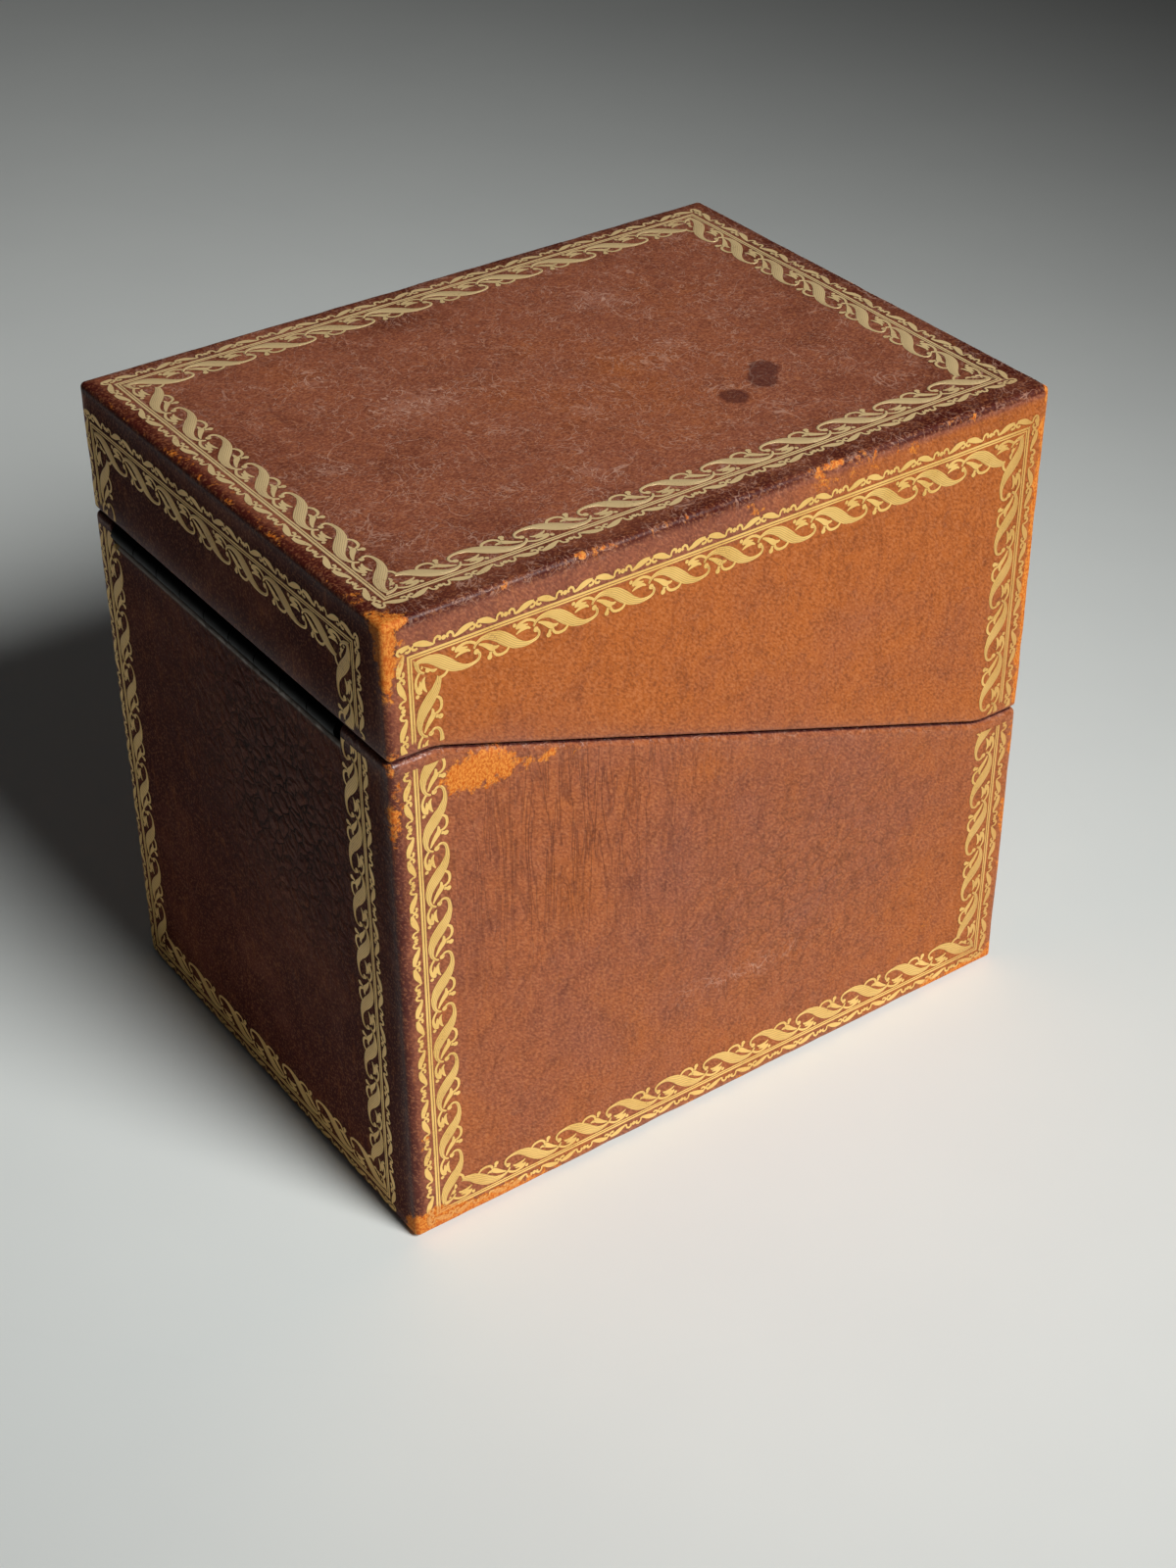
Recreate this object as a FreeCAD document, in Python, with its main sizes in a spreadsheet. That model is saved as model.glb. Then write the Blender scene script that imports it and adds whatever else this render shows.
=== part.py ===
"""Slant-lid keepsake box: boards covered in leather, lined inside, with a continuous hinge at the back.

Frame: X runs along the hinge, -Y is the front with the low rim, +Y is the hinged back, and Z is up.
The origin is under the middle of the box, on the surface that it stands on. Lengths are millimetres.
"""
import FreeCAD, Part
import os
import re

import Sketcher

doc = FreeCAD.newDocument("slant_lid_box")
sheet = doc.addObject("Spreadsheet::Sheet", "Sizes")

# Sizes that can each be set alone: alias, value, what it is
SIZES = (
    ("box_width", 122, "outside width, along the hinge"),
    ("box_depth", 165, "outside depth, front to back"),
    ("box_height", 154, "outside height with the lid shut"),
    ("lid_back_depth", 30.3, "depth of the lid at the back"),
    ("lid_front_depth", 80.7, "depth of the lid at the front"),
    ("ledge_back", 10.5, "level stretch of the side rim at the back"),
    ("ledge_front", 12, "level stretch of the side rim at the front"),
    ("bend_round", 14, "radius of the bends between level and slanting rim"),
    ("lid_gap", 0.5, "line of shadow between lid and base"),
    ("leather", 1, "thickness of the covering leather"),
    ("board", 6, "thickness of the wall boards"),
    ("floor_board", 6, "thickness of the floor board"),
    ("top_board", 6, "thickness of the lid's top board"),
    ("lining", 0.5, "thickness of the lining and of the pared turn-in"),
    ("turn_in", 8, "how far the leather turns in below the rim"),
    ("corner_rebate", 3, "how far front and back boards are let into the sides"),
    ("underside", 0.6, "thickness of the sheet under the base"),
    ("underside_inset", 1.6, "margin of that sheet from the outside"),
    ("edge_round", 1.2, "radius of the upright edges"),
    ("rim_round", 1.5, "radius of the outer rim edges of the base"),
    ("lid_rim_round", 1.1, "radius of the outer rim edges of the lid"),
    ("top_round", 1.4, "radius of the edges round the top"),
    ("board_round", 0.6, "radius of the top board's edges under the leather"),
    ("foot_round", 0.6, "radius of the bottom edges"),
    ("hinge_left_room", 11.5, "room inside the left wall before the hinge starts"),
    ("hinge_right_room", 1.5, "room inside the right wall past the hinge's end"),
    ("hinge_radius", 2.3, "radius of the hinge barrel"),
    ("hinge_inset", 1.5, "how far the hinge axis lies inside the back face"),
    ("leaf", 0.8, "thickness of the hinge leaves"),
    ("leaf_step", 0.3, "how far the leaves stand out past the barrel"),
    ("leaf_margin", 0.1, "margin of the leaves from the inner face of the back boards"),
    ("knuckle_gap", 0.3, "gap between neighbouring knuckles"),
    ("barrel_play", 0.3, "room between the barrel and the other leaf"),
    ("recess_play", 0.6, "room past each end of the hinge"),
    ("pin_radius", 1, "radius of the hinge pin"),
    ("pin_play", 0.05, "running clearance round the hinge pin"),
    ("screw_radius", 0.6, "radius of the hinge screws' shanks"),
    ("screw_head", 1.05, "radius of the hinge screws' heads"),
    ("screw_length", 5, "length of the hinge screws"),
    ("screw_play", 0.05, "clearance round the hinge screws"),
    ("overrun", 5, "how far cutting shapes run past what they cut"),
)

# Sizes that follow from the ones above: alias, formula
DERIVED = (
    ("half_width", "box_width / 2"),
    ("half_depth", "box_depth / 2"),
    ("skin_x", "half_width - leather"),
    ("skin_y", "half_depth - leather"),
    ("board_x", "skin_x - board"),
    ("board_y", "skin_y - board"),
    ("inner_x", "board_x - lining"),
    ("inner_y", "board_y - lining"),
    ("rebate_x", "board_x + corner_rebate"),
    ("floor_top", "underside + floor_board"),
    ("floor_face", "floor_top + lining"),
    ("lid_back", "box_height - lid_back_depth"),
    ("rim_back", "lid_back - lid_gap"),
    ("rim_front", "box_height - lid_front_depth - lid_gap"),
    ("top_skin", "box_height - leather"),
    ("top_under", "top_skin - top_board"),
    ("ceiling_face", "top_under - lining"),
    ("hinge_start", "hinge_left_room - inner_x"),
    ("hinge_end", "inner_x - hinge_right_room"),
    ("hinge_length", "hinge_end - hinge_start"),
    ("axis_y", "half_depth - hinge_inset"),
    ("axis_z", "lid_back - leaf_step - hinge_radius"),
    ("recess_floor", "axis_z - hinge_radius - leaf_step"),
    ("recess_start", "hinge_start - recess_play"),
    ("recess_end", "hinge_end + recess_play"),
    ("leaf_inside", "board_y + leaf_margin"),
    ("leaf_edge", "axis_y - hinge_radius - barrel_play"),
    ("lid_leaf_low", "lid_back - leaf"),
    ("screw_y", "(leaf_inside + leaf_edge) / 2"),
    ("head_depth", "screw_head - screw_radius"),
    ("screw_top", "recess_floor + leaf"),
)
KNUCKLES = 9
SCREWS = 5


def fill_sheet():
    """Writes both tables into the sheet, one size in each row."""
    rows = [(alias, str(value), note) for alias, value, note in SIZES]
    rows += [(alias, "=" + formula, "follows") for alias, formula in DERIVED]
    for row, (alias, content, note) in enumerate(rows, start=1):
        sheet.set(f"A{row}", note)
        sheet.set(f"B{row}", content)
        sheet.setAlias(f"B{row}", alias)
    doc.recompute()


def bind(thing, prop, formula):
    """Ties a property to a formula in the sheet's aliases."""
    thing.setExpression(prop, re.sub(r"[a-z][a-z_]*", r"Sizes.\g<0>", formula))


def slab(name, x, y, z):
    """A block between two corners, each of x, y and z a pair of formulas."""
    box = doc.addObject("Part::Box", name)
    for prop, letter, (low, high) in (("Length", "x", x), ("Width", "y", y), ("Height", "z", z)):
        bind(box, prop, f"({high}) - ({low})")
        bind(box, f"Placement.Base.{letter}", low)
    return box


def sketch_on(body, role, name, offset):
    """An empty sketch on one of the body's own planes, moved along the plane's normal by a formula."""
    plane = next(f for f in body.Origin.OriginFeatures if f.Role == role)
    sketch = body.newObject("Sketcher::SketchObject", name)
    sketch.AttachmentSupport = [(plane, "")]
    sketch.MapMode = "FlatFace"
    if offset:
        bind(sketch, "AttachmentOffset.Base.z", offset)
    return sketch


def place_point(sketch, geometry, position, u, v):
    """Holds a point of the sketch at two formulas, measured from the origin."""
    for kind, formula in (("DistanceX", u), ("DistanceY", v)):
        value = sheet.evalExpression(formula)
        index = sketch.addConstraint(Sketcher.Constraint(kind, -1, 1, geometry, position, float(value)))
        bind(sketch, f"Constraints[{index}]", formula)


def outline(sketch, corners):
    """A closed outline of straight lines, with each corner a pair of formulas."""
    points = [FreeCAD.Vector(*(float(sheet.evalExpression(f)) for f in corner), 0) for corner in corners]
    count = len(points)
    for i in range(count):
        sketch.addGeometry(Part.LineSegment(points[i], points[(i + 1) % count]), False)
    for i in range(count):
        sketch.addConstraint(Sketcher.Constraint("Coincident", i, 2, (i + 1) % count, 1))
    for i, corner in enumerate(corners):
        place_point(sketch, i, 1, *corner)


def circle(sketch, u, v, radius):
    """A circle with its middle and radius given by formulas."""
    middle = FreeCAD.Vector(*(float(sheet.evalExpression(f)) for f in (u, v)), 0)
    value = float(sheet.evalExpression(radius))
    ring = sketch.addGeometry(Part.Circle(middle, FreeCAD.Vector(0, 0, 1), value), False)
    place_point(sketch, ring, 3, u, v)
    index = sketch.addConstraint(Sketcher.Constraint("Radius", ring, value))
    bind(sketch, f"Constraints[{index}]", radius)


def pad(body, sketch, length, symmetric=False):
    """Raises a sketch into a solid, to one side or to both."""
    feature = body.newObject("PartDesign::Pad", sketch.Name + "_pad")
    feature.Profile = sketch
    feature.SideType = "Symmetric" if symmetric else "One side"
    bind(feature, "Length", length)
    doc.recompute()
    return feature


def at(alias):
    """The present value of one size, for finding edges by their place."""
    return float(sheet.evalExpression(alias))


def same(a, b):
    """Whether two places agree, to a small part of the thinnest layer."""
    hair_share = 0.01
    return abs(a - b) < hair_share * at("lining")


def round_edges(body, radius, test):
    """Rounds every edge of the body whose two ends pass the test."""
    base = body.Tip
    names = []
    for number, edge in enumerate(base.Shape.Edges, start=1):
        ends = [vertex.Point for vertex in edge.Vertexes]
        if len(ends) == 2 and test(*ends):
            names.append(f"Edge{number}")
    feature = body.newObject("PartDesign::Fillet", f"{body.Name}_{radius}")
    feature.Base = (base, names)
    bind(feature, "Radius", radius)
    doc.recompute()


def wedge(name, far, shift):
    """The box's full outline on one side of the parting line.

    The parting line runs level, slants down and runs level again; shift lifts it, and far is the
    height of the flat face opposite.
    """
    body = doc.addObject("PartDesign::Body", name)
    sketch = sketch_on(body, "YZ_Plane", name + "_outline", "")
    outline(sketch, (
        ("half_depth", far),
        ("half_depth", f"rim_back + {shift}"),
        ("half_depth - ledge_back", f"rim_back + {shift}"),
        ("ledge_front - half_depth", f"rim_front + {shift}"),
        ("-half_depth", f"rim_front + {shift}"),
        ("-half_depth", far),
    ))
    pad(body, sketch, "box_width", symmetric=True)
    bends = (at("half_depth - ledge_back"), at("ledge_front - half_depth"))
    round_edges(body, "bend_round", lambda a, b: same(a.y, b.y) and any(same(a.y, y) for y in bends))
    return body


def upright_corner(a, b):
    """Whether an edge is one of the four upright outer edges."""
    corner = same(abs(a.x), at("half_width")) and same(abs(a.y), at("half_depth"))
    return corner and same(a.x, b.x) and same(a.y, b.y)


def outer_rim(a, b, far):
    """Whether an edge runs round the outside along the parting line, hinge recess included."""
    side = same(a.x, b.x) and same(abs(a.x), at("half_width"))
    end = same(a.y, b.y) and same(abs(a.y), at("half_depth"))
    return (side or end) and not upright_corner(a, b) and not same(a.z, far) and not same(b.z, far)


def cut(name, base, tools):
    """A piece with the shapes of its neighbours taken out of it."""
    piece = doc.addObject("Part::Cut", name)
    piece.Base = base
    piece.Tool = tools[0]
    if len(tools) > 1:
        piece.Tool = doc.addObject("Part::MultiFuse", name + "_space")
        piece.Tool.Shapes = tools
    return piece


def common(name, base, tool):
    """The part of a piece that lies inside another shape."""
    piece = doc.addObject("Part::Common", name)
    piece.Base = base
    piece.Tool = tool
    return piece


def compound(name, pieces):
    """A group of separate solids under one name."""
    group = doc.addObject("Part::Compound", name)
    group.Links = pieces
    return group


def screw_row(name, low, upward, play):
    """Countersunk hinge screws in a row; low is where the head's face lies, play widens them into holes."""
    screws = []
    for i in range(SCREWS):
        place = f"hinge_start + hinge_length * {2 * i + 1} / {2 * SCREWS}"
        shank = doc.addObject("Part::Cylinder", f"{name}_shank_{i}")
        head = doc.addObject("Part::Cone", f"{name}_head_{i}")
        bind(shank, "Radius", f"screw_radius + {play}")
        bind(shank, "Height", f"screw_length + {play}")
        bind(head, "Radius1", f"{'screw_head' if upward else 'screw_radius'} + {play}")
        bind(head, "Radius2", f"{'screw_radius' if upward else 'screw_head'} + {play}")
        bind(head, "Height", "head_depth")
        bind(shank, "Placement.Base.z", low if upward else f"{low} - screw_length - {play}")
        bind(head, "Placement.Base.z", low if upward else f"{low} - head_depth")
        for half in (shank, head):
            bind(half, "Placement.Base.x", place)
            bind(half, "Placement.Base.y", "screw_y")
        screw = doc.addObject("Part::Fuse", f"{name}_{i}")
        screw.Base = shank
        screw.Tool = head
        screws.append(screw)
    return screws


def hinge_leaf(name, low, first, count):
    """One leaf of the hinge: a plate with every other knuckle of the barrel rolled from its edge."""
    body = doc.addObject("PartDesign::Body", name)
    plate = sketch_on(body, "XY_Plane", name + "_plate", low)
    outline(plate, (
        ("hinge_start", "leaf_inside"),
        ("hinge_end", "leaf_inside"),
        ("hinge_end", "leaf_edge"),
        ("hinge_start", "leaf_edge"),
    ))
    pad(body, plate, "leaf")
    start = f"hinge_start + hinge_length * {first} / {KNUCKLES} + knuckle_gap / 2"
    length = f"hinge_length / {KNUCKLES} - knuckle_gap"
    strap = sketch_on(body, "YZ_Plane", name + "_strap", start)
    outline(strap, (
        ("leaf_inside", low),
        ("axis_y", low),
        ("axis_y", f"{low} + leaf"),
        ("leaf_inside", f"{low} + leaf"),
    ))
    strap_pad = pad(body, strap, length)
    barrel = sketch_on(body, "YZ_Plane", name + "_barrel", start)
    circle(barrel, "axis_y", "axis_z", "hinge_radius")
    circle(barrel, "axis_y", "axis_z", "pin_radius + pin_play")
    barrel_pad = pad(body, barrel, length)
    row = body.newObject("PartDesign::LinearPattern", name + "_row")
    row.Originals = [strap_pad, barrel_pad]
    row.Direction = (barrel, ["N_Axis"])
    row.Mode = "Extent"
    row.Occurrences = count
    bind(row, "Length", f"hinge_length * {2 * (count - 1)} / {KNUCKLES}")
    body.Tip = row
    doc.recompute()
    return body


def walls(prefix, low, high):
    """The four wall blocks of base or lid, before the parting line trims them."""
    level = (low, high)
    front = slab(prefix + "_front_block", ("-rebate_x", "rebate_x"), ("-skin_y", "-board_y"), level)
    back = slab(prefix + "_back_block", ("-rebate_x", "rebate_x"), ("board_y", "skin_y"), level)
    left = slab(prefix + "_left_block", ("-skin_x", "-board_x"), ("-skin_y", "skin_y"), level)
    right = slab(prefix + "_right_block", ("board_x", "skin_x"), ("-skin_y", "skin_y"), level)
    return {"front": front, "back": back, "left": left, "right": right}


def wall_linings(prefix, low, high):
    """The four wall lining sheets of base or lid, before the parting line trims them."""
    level = (low, high)
    front = slab(prefix + "_front_sheet", ("-inner_x", "inner_x"), ("-board_y", "-inner_y"), level)
    back = slab(prefix + "_back_sheet", ("-inner_x", "inner_x"), ("inner_y", "board_y"), level)
    left = slab(prefix + "_left_sheet", ("-board_x", "-inner_x"), ("-board_y", "board_y"), level)
    right = slab(prefix + "_right_sheet", ("inner_x", "board_x"), ("-board_y", "board_y"), level)
    return {"front": front, "back": back, "left": left, "right": right}


fill_sheet()
nodes = {}

# Hinge: two leaves with interleaved knuckles, the pin through them, and a row of screws in each leaf
base_screws = screw_row("base_screw", "screw_top", False, "0")
lid_screws = screw_row("lid_screw", "lid_leaf_low", True, "0")
base_holes = screw_row("base_hole", "screw_top", False, "screw_play")
lid_holes = screw_row("lid_hole", "lid_leaf_low", True, "screw_play")
base_leaf = hinge_leaf("base_leaf", "recess_floor", 0, (KNUCKLES + 1) // 2)
lid_leaf = hinge_leaf("lid_leaf", "lid_leaf_low", 1, KNUCKLES // 2)
nodes["base_hinge_leaf"] = cut("base_leaf_drilled", base_leaf, base_holes)
nodes["lid_hinge_leaf"] = cut("lid_leaf_drilled", lid_leaf, lid_holes)
nodes["base_hinge_screws"] = compound("base_screw_set", base_screws)
nodes["lid_hinge_screws"] = compound("lid_screw_set", lid_screws)
pin = doc.addObject("Part::Cylinder", "pin")
bind(pin, "Radius", "pin_radius")
bind(pin, "Height", "hinge_length")
pin.Placement.Rotation = FreeCAD.Rotation(FreeCAD.Vector(0, 1, 0), 90)
bind(pin, "Placement.Base.x", "hinge_start")
bind(pin, "Placement.Base.y", "axis_y")
bind(pin, "Placement.Base.z", "axis_z")
nodes["hinge_pin"] = pin

# Base boards: a floor with four walls glued on it, front and back let into the sides
base_space = wedge("base_board_space", "underside", "0 - leather")
base_blocks = walls("base", "floor_top", "box_height")
hinge_recess = slab("hinge_recess", ("recess_start - leather", "recess_end + leather"),
                    ("board_y - overrun", "skin_y + overrun"), ("recess_floor - leather", "box_height"))
base_front = common("base_front_cut", base_blocks["front"], base_space)
base_back_whole = common("base_back_cut", base_blocks["back"], base_space)
base_back = cut("base_back_recessed", base_back_whole, [hinge_recess] + base_holes)
nodes["base_front_board"] = base_front
nodes["base_back_board"] = base_back
for side in ("left", "right"):
    trimmed = common(f"base_{side}_cut", base_blocks[side], base_space)
    nodes[f"base_{side}_board"] = cut(f"base_{side}_rebated", trimmed,
                                      [base_blocks["front"], base_blocks["back"], hinge_recess])
nodes["base_floor_board"] = slab("base_floor", ("-skin_x", "skin_x"), ("-skin_y", "skin_y"),
                                 ("underside", "floor_top"))

# Base lining: a floor sheet and four wall sheets that stop below the leather's turn-in
base_sheet_space = wedge("base_sheet_space", "underside", "0 - turn_in")
nodes["base_floor_lining"] = slab("base_floor_sheet", ("-board_x", "board_x"), ("-board_y", "board_y"),
                                  ("floor_top", "floor_face"))
for side, sheet_block in wall_linings("base", "floor_face", "box_height").items():
    nodes[f"base_{side}_lining"] = common(f"base_{side}_lining_cut", sheet_block, base_sheet_space)

# Base leather: one wrap round the walls, over the rim and into the hinge recess, turned in at the top
base_skin = wedge("base_skin", "underside", "0")
notch = sketch_on(base_skin, "XZ_Plane", "base_skin_notch", "")
outline(notch, (
    ("recess_start", "recess_floor"),
    ("recess_end", "recess_floor"),
    ("recess_end", "box_height"),
    ("recess_start", "box_height"),
))
notch_cut = base_skin.newObject("PartDesign::Pocket", "base_skin_notch_cut")
notch_cut.Profile = notch
notch_cut.Type = "ThroughAll"
notch_cut.SideType = "One side"
doc.recompute()
base_low = at("underside")
round_edges(base_skin, "edge_round", upright_corner)
round_edges(base_skin, "rim_round", lambda a, b: outer_rim(a, b, base_low))
round_edges(base_skin, "foot_round", lambda a, b: same(a.z, base_low) and same(b.z, base_low))
base_hollow = slab("base_hollow", ("-inner_x", "inner_x"), ("-inner_y", "inner_y"), ("underside", "box_height"))
base_inside = [nodes[n] for n in nodes if n.startswith("base_") and n.endswith(("_board", "_lining"))]
nodes["base_leather"] = cut("base_leather_shell", base_skin, [base_hollow] + base_inside + base_holes)
nodes["base_underside"] = slab("base_underside_sheet",
                               ("underside_inset - half_width", "half_width - underside_inset"),
                               ("underside_inset - half_depth", "half_depth - underside_inset"),
                               ("0", "underside"))

# Lid boards: a top board on four walls
lid_space = wedge("lid_board_space", "top_under", "lid_gap + leather")
lid_blocks = walls("lid", "0", "top_under")
lid_back_whole = common("lid_back_cut", lid_blocks["back"], lid_space)
nodes["lid_front_board"] = common("lid_front_cut", lid_blocks["front"], lid_space)
nodes["lid_back_board"] = cut("lid_back_drilled", lid_back_whole, lid_holes)
for side in ("left", "right"):
    trimmed = common(f"lid_{side}_cut", lid_blocks[side], lid_space)
    nodes[f"lid_{side}_board"] = cut(f"lid_{side}_rebated", trimmed, [lid_blocks["front"], lid_blocks["back"]])
lid_top = doc.addObject("PartDesign::Body", "lid_top")
lid_top_plan = sketch_on(lid_top, "XY_Plane", "lid_top_plan", "top_under")
outline(lid_top_plan, (("-skin_x", "-skin_y"), ("skin_x", "-skin_y"), ("skin_x", "skin_y"), ("-skin_x", "skin_y")))
pad(lid_top, lid_top_plan, "top_board")
lid_high = at("top_skin")
round_edges(lid_top, "board_round", lambda a, b: same(a.z, lid_high) and same(b.z, lid_high))
nodes["lid_top_board"] = lid_top

# Lid lining: a ceiling sheet and four wall sheets
lid_sheet_space = wedge("lid_sheet_space", "top_under", "lid_gap + turn_in")
nodes["lid_ceiling_lining"] = slab("lid_ceiling_sheet", ("-board_x", "board_x"), ("-board_y", "board_y"),
                                   ("ceiling_face", "top_under"))
for side, sheet_block in wall_linings("lid", "0", "ceiling_face").items():
    nodes[f"lid_{side}_lining"] = common(f"lid_{side}_lining_cut", sheet_block, lid_sheet_space)

# Lid leather: a wrap round the walls, turned in at the rim, and a top sheet drawn down over the edges
lid_skin = wedge("lid_skin", "box_height", "lid_gap")
lid_far = at("box_height")
round_edges(lid_skin, "edge_round", upright_corner)
round_edges(lid_skin, "lid_rim_round", lambda a, b: outer_rim(a, b, lid_far))
round_edges(lid_skin, "top_round", lambda a, b: same(a.z, lid_far) and same(b.z, lid_far))
lid_hollow = slab("lid_hollow", ("-inner_x", "inner_x"), ("-inner_y", "inner_y"), ("0", "ceiling_face"))
lid_inside = [nodes[n] for n in nodes if n.startswith("lid_") and n.endswith(("_board", "_lining"))]
lid_cover = cut("lid_cover", lid_skin, [lid_hollow] + lid_inside + lid_holes)
top_zone = slab("top_zone", ("-half_width - overrun", "half_width + overrun"),
                ("-half_depth - overrun", "half_depth + overrun"),
                ("box_height - top_round", "box_height + overrun"))
nodes["lid_top_leather"] = common("lid_top_cover", lid_cover, top_zone)
nodes["lid_side_leather"] = cut("lid_side_cover", lid_cover, [top_zone])

doc.recompute()
for thing in doc.Objects:
    if "Invalid" in thing.State or "Error" in thing.State:
        raise RuntimeError(f"{thing.Name} did not build: {thing.State}")
os.makedirs("parts", exist_ok=True)
for label, piece in nodes.items():
    if piece.Shape.isNull() or not piece.Shape.isValid() or not piece.Shape.Solids:
        raise RuntimeError(f"{label} has no valid solid")
    piece.Label = label
    piece.Shape.exportStep(f"parts/{label}.step")
    print(f"{label}: {len(piece.Shape.Solids)} solids, {piece.Shape.Volume:.1f} cubic mm")
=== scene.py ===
import math

import bmesh
import bpy
import numpy as np
from mathutils import Matrix, Vector, noise


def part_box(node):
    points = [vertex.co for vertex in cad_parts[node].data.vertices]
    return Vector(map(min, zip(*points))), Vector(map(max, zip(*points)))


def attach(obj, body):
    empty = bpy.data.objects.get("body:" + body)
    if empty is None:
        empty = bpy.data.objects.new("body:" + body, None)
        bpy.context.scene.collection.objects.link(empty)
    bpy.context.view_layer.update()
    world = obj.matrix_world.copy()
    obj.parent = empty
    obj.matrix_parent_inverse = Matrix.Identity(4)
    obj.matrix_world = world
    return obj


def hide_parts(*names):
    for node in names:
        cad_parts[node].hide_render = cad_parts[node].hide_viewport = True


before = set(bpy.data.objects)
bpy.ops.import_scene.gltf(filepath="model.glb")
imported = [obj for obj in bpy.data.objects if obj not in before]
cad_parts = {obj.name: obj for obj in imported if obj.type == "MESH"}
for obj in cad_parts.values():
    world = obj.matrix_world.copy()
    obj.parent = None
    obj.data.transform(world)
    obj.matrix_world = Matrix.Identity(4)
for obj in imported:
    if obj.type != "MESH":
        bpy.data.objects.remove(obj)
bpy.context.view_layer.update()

# Boards: base and lid are two boxes of thin poplar boards, rebated at the corners and glued.
# Leather and linings hide them once the box is covered, so the solids stay and get a wood finish.
MM = 0.001
POPLAR_PALE, POPLAR_DARK = (196, 164, 118), (158, 122, 80)


def paint(red, green, blue):
    """A colour as it looks on screen, turned into what a shader wants."""
    shares = [channel / 255 for channel in (red, green, blue)]
    linear = [s / 12.92 if s <= 0.04045 else ((s + 0.055) / 1.055) ** 2.4 for s in shares]
    return (*linear, 1.0)


class Tree:
    """A node tree, with short ways to add to it."""

    def __init__(self, tree):
        self.tree = tree

    def plug(self, value, socket):
        """Links a socket to another one, or sets it to a plain value."""
        if isinstance(value, bpy.types.NodeSocket):
            self.tree.links.new(value, socket)
        else:
            socket.default_value = value

    def node(self, kind, sockets=(), **settings):
        """A node with its settings made and its sockets linked or set."""
        made = self.tree.nodes.new(kind)
        for key, value in settings.items():
            setattr(made, key, value)
        for key, value in dict(sockets).items():
            self.plug(value, made.inputs[key])
        return made

    def maths(self, operation, first, second=0.0):
        """One sum on two values."""
        return self.node("ShaderNodeMath", {0: first, 1: second}, operation=operation).outputs[0]

    def times(self, first, second):
        return self.maths("MULTIPLY", first, second)


class Finish(Tree):
    """A new material, built from patterns measured in millimetres."""

    def __init__(self, name):
        self.material = bpy.data.materials.new(name)
        self.material.use_nodes = True
        super().__init__(self.material.node_tree)

    def place(self, stretch=(1, 1, 1)):
        """Where a point lies in the frame, in millimetres, with each axis stretched by a share."""
        spot = self.node("ShaderNodeTexCoord").outputs["Object"]
        scale = tuple(share / MM for share in stretch)
        return self.node("ShaderNodeMapping", {"Vector": spot, "Scale": scale}).outputs["Vector"]

    def clouds(self, where, size, detail=3, roughness=0.55, distortion=0.0):
        """Soft noise with features about size across."""
        sockets = {"Vector": where, "Scale": 1 / size, "Detail": detail, "Roughness": roughness,
                   "Distortion": distortion}
        return self.node("ShaderNodeTexNoise", sockets).outputs["Fac"]

    def between(self, value, low, high):
        """A value's place from low to high as 0 to 1, eased and held at both ends."""
        sockets = {"Value": value, "From Min": low, "From Max": high}
        return self.node("ShaderNodeMapRange", sockets, interpolation_type="SMOOTHSTEP").outputs["Result"]

    def coat(self, share, under, over):
        """One colour laid over another by a share."""
        return self.node("ShaderNodeMix", {0: share, 6: under, 7: over}, data_type="RGBA").outputs[2]

    def emboss(self, height, depth, strength=1.0, under=None):
        """A bump of a height from 0 to 1, depth millimetres deep, on top of another bump."""
        sockets = {"Height": height, "Distance": depth * MM, "Strength": strength}
        if under is not None:
            sockets["Normal"] = under
        return self.node("ShaderNodeBump", sockets).outputs["Normal"]

    def done(self, sockets):
        """The material, with its shader's sockets linked or set."""
        for key, value in sockets.items():
            self.plug(value, self.tree.nodes["Principled BSDF"].inputs[key])
        return self.material


def poplar_finish(name, stretch):
    """Sawn poplar, with its grain along the axis that is stretched least."""
    wood = Finish(name)
    here = wood.place(stretch)
    grain = wood.clouds(here, 2.5, 5, 0.65, 0.6)
    pores = wood.times(wood.between(grain, 0.35, 0.65), wood.between(wood.clouds(here, 9), 0.3, 0.7))
    colour = wood.coat(pores, paint(*POPLAR_PALE), paint(*POPLAR_DARK))
    return wood.done({"Base Color": colour, "Roughness": 0.7, "Normal": wood.emboss(grain, 0.05)})


def refinish(solid, material):
    """Gives a solid that stays in sight a material of its own."""
    solid.data.materials.clear()
    solid.data.materials.append(material)


poplar_along = poplar_finish("poplar_along", (1, 0.06, 1))
poplar_across = poplar_finish("poplar_across", (0.06, 1, 1))
for label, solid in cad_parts.items():
    if label.endswith("_board"):
        refinish(solid, poplar_across if "front" in label or "back" in label else poplar_along)

# Base leather: one piece of brown calf pasted round the four walls, drawn over the rim into the hinge
# recess and turned in at the top. It is old: rubbed to tan on the edges, creased, scuffed and stained.


def in_mm(corners):
    """The two corners of a box, in millimetres."""
    return [np.array(corner) / MM for corner in corners]


base_low, base_high = in_mm(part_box("base_leather"))
lid_low, lid_high = in_mm(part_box("lid_side_leather"))
leaf_low, leaf_high = in_mm(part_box("base_hinge_leaf"))
top_low, top_high = in_mm(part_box("lid_top_leather"))
wall_low, wall_high = in_mm(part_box("base_left_lining"))
OUT_X, OUT_Y, TOP = lid_high[0], lid_high[1], top_high[2]
FOOT, RIM_BACK = base_low[2], base_high[2]
LID_GAP = 0.5
RIM_FRONT = lid_low[2] - LID_GAP
WALL = OUT_X + wall_high[0]
LEATHER = 1.0
LINING = wall_high[0] - wall_low[0]
TURN_IN = 8.0
LEDGE_BACK, LEDGE_FRONT, BEND = 10.5, 12.0, 14.0
EDGE_ROUND, RIM_ROUND, FOOT_ROUND, INNER_ROUND = 1.2, 1.5, 0.6, 0.3
RECESS_PLAY, RECESS_LIP = 0.6, 0.7
RIGHT, BACK, LEFT, FRONT = range(4)
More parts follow.
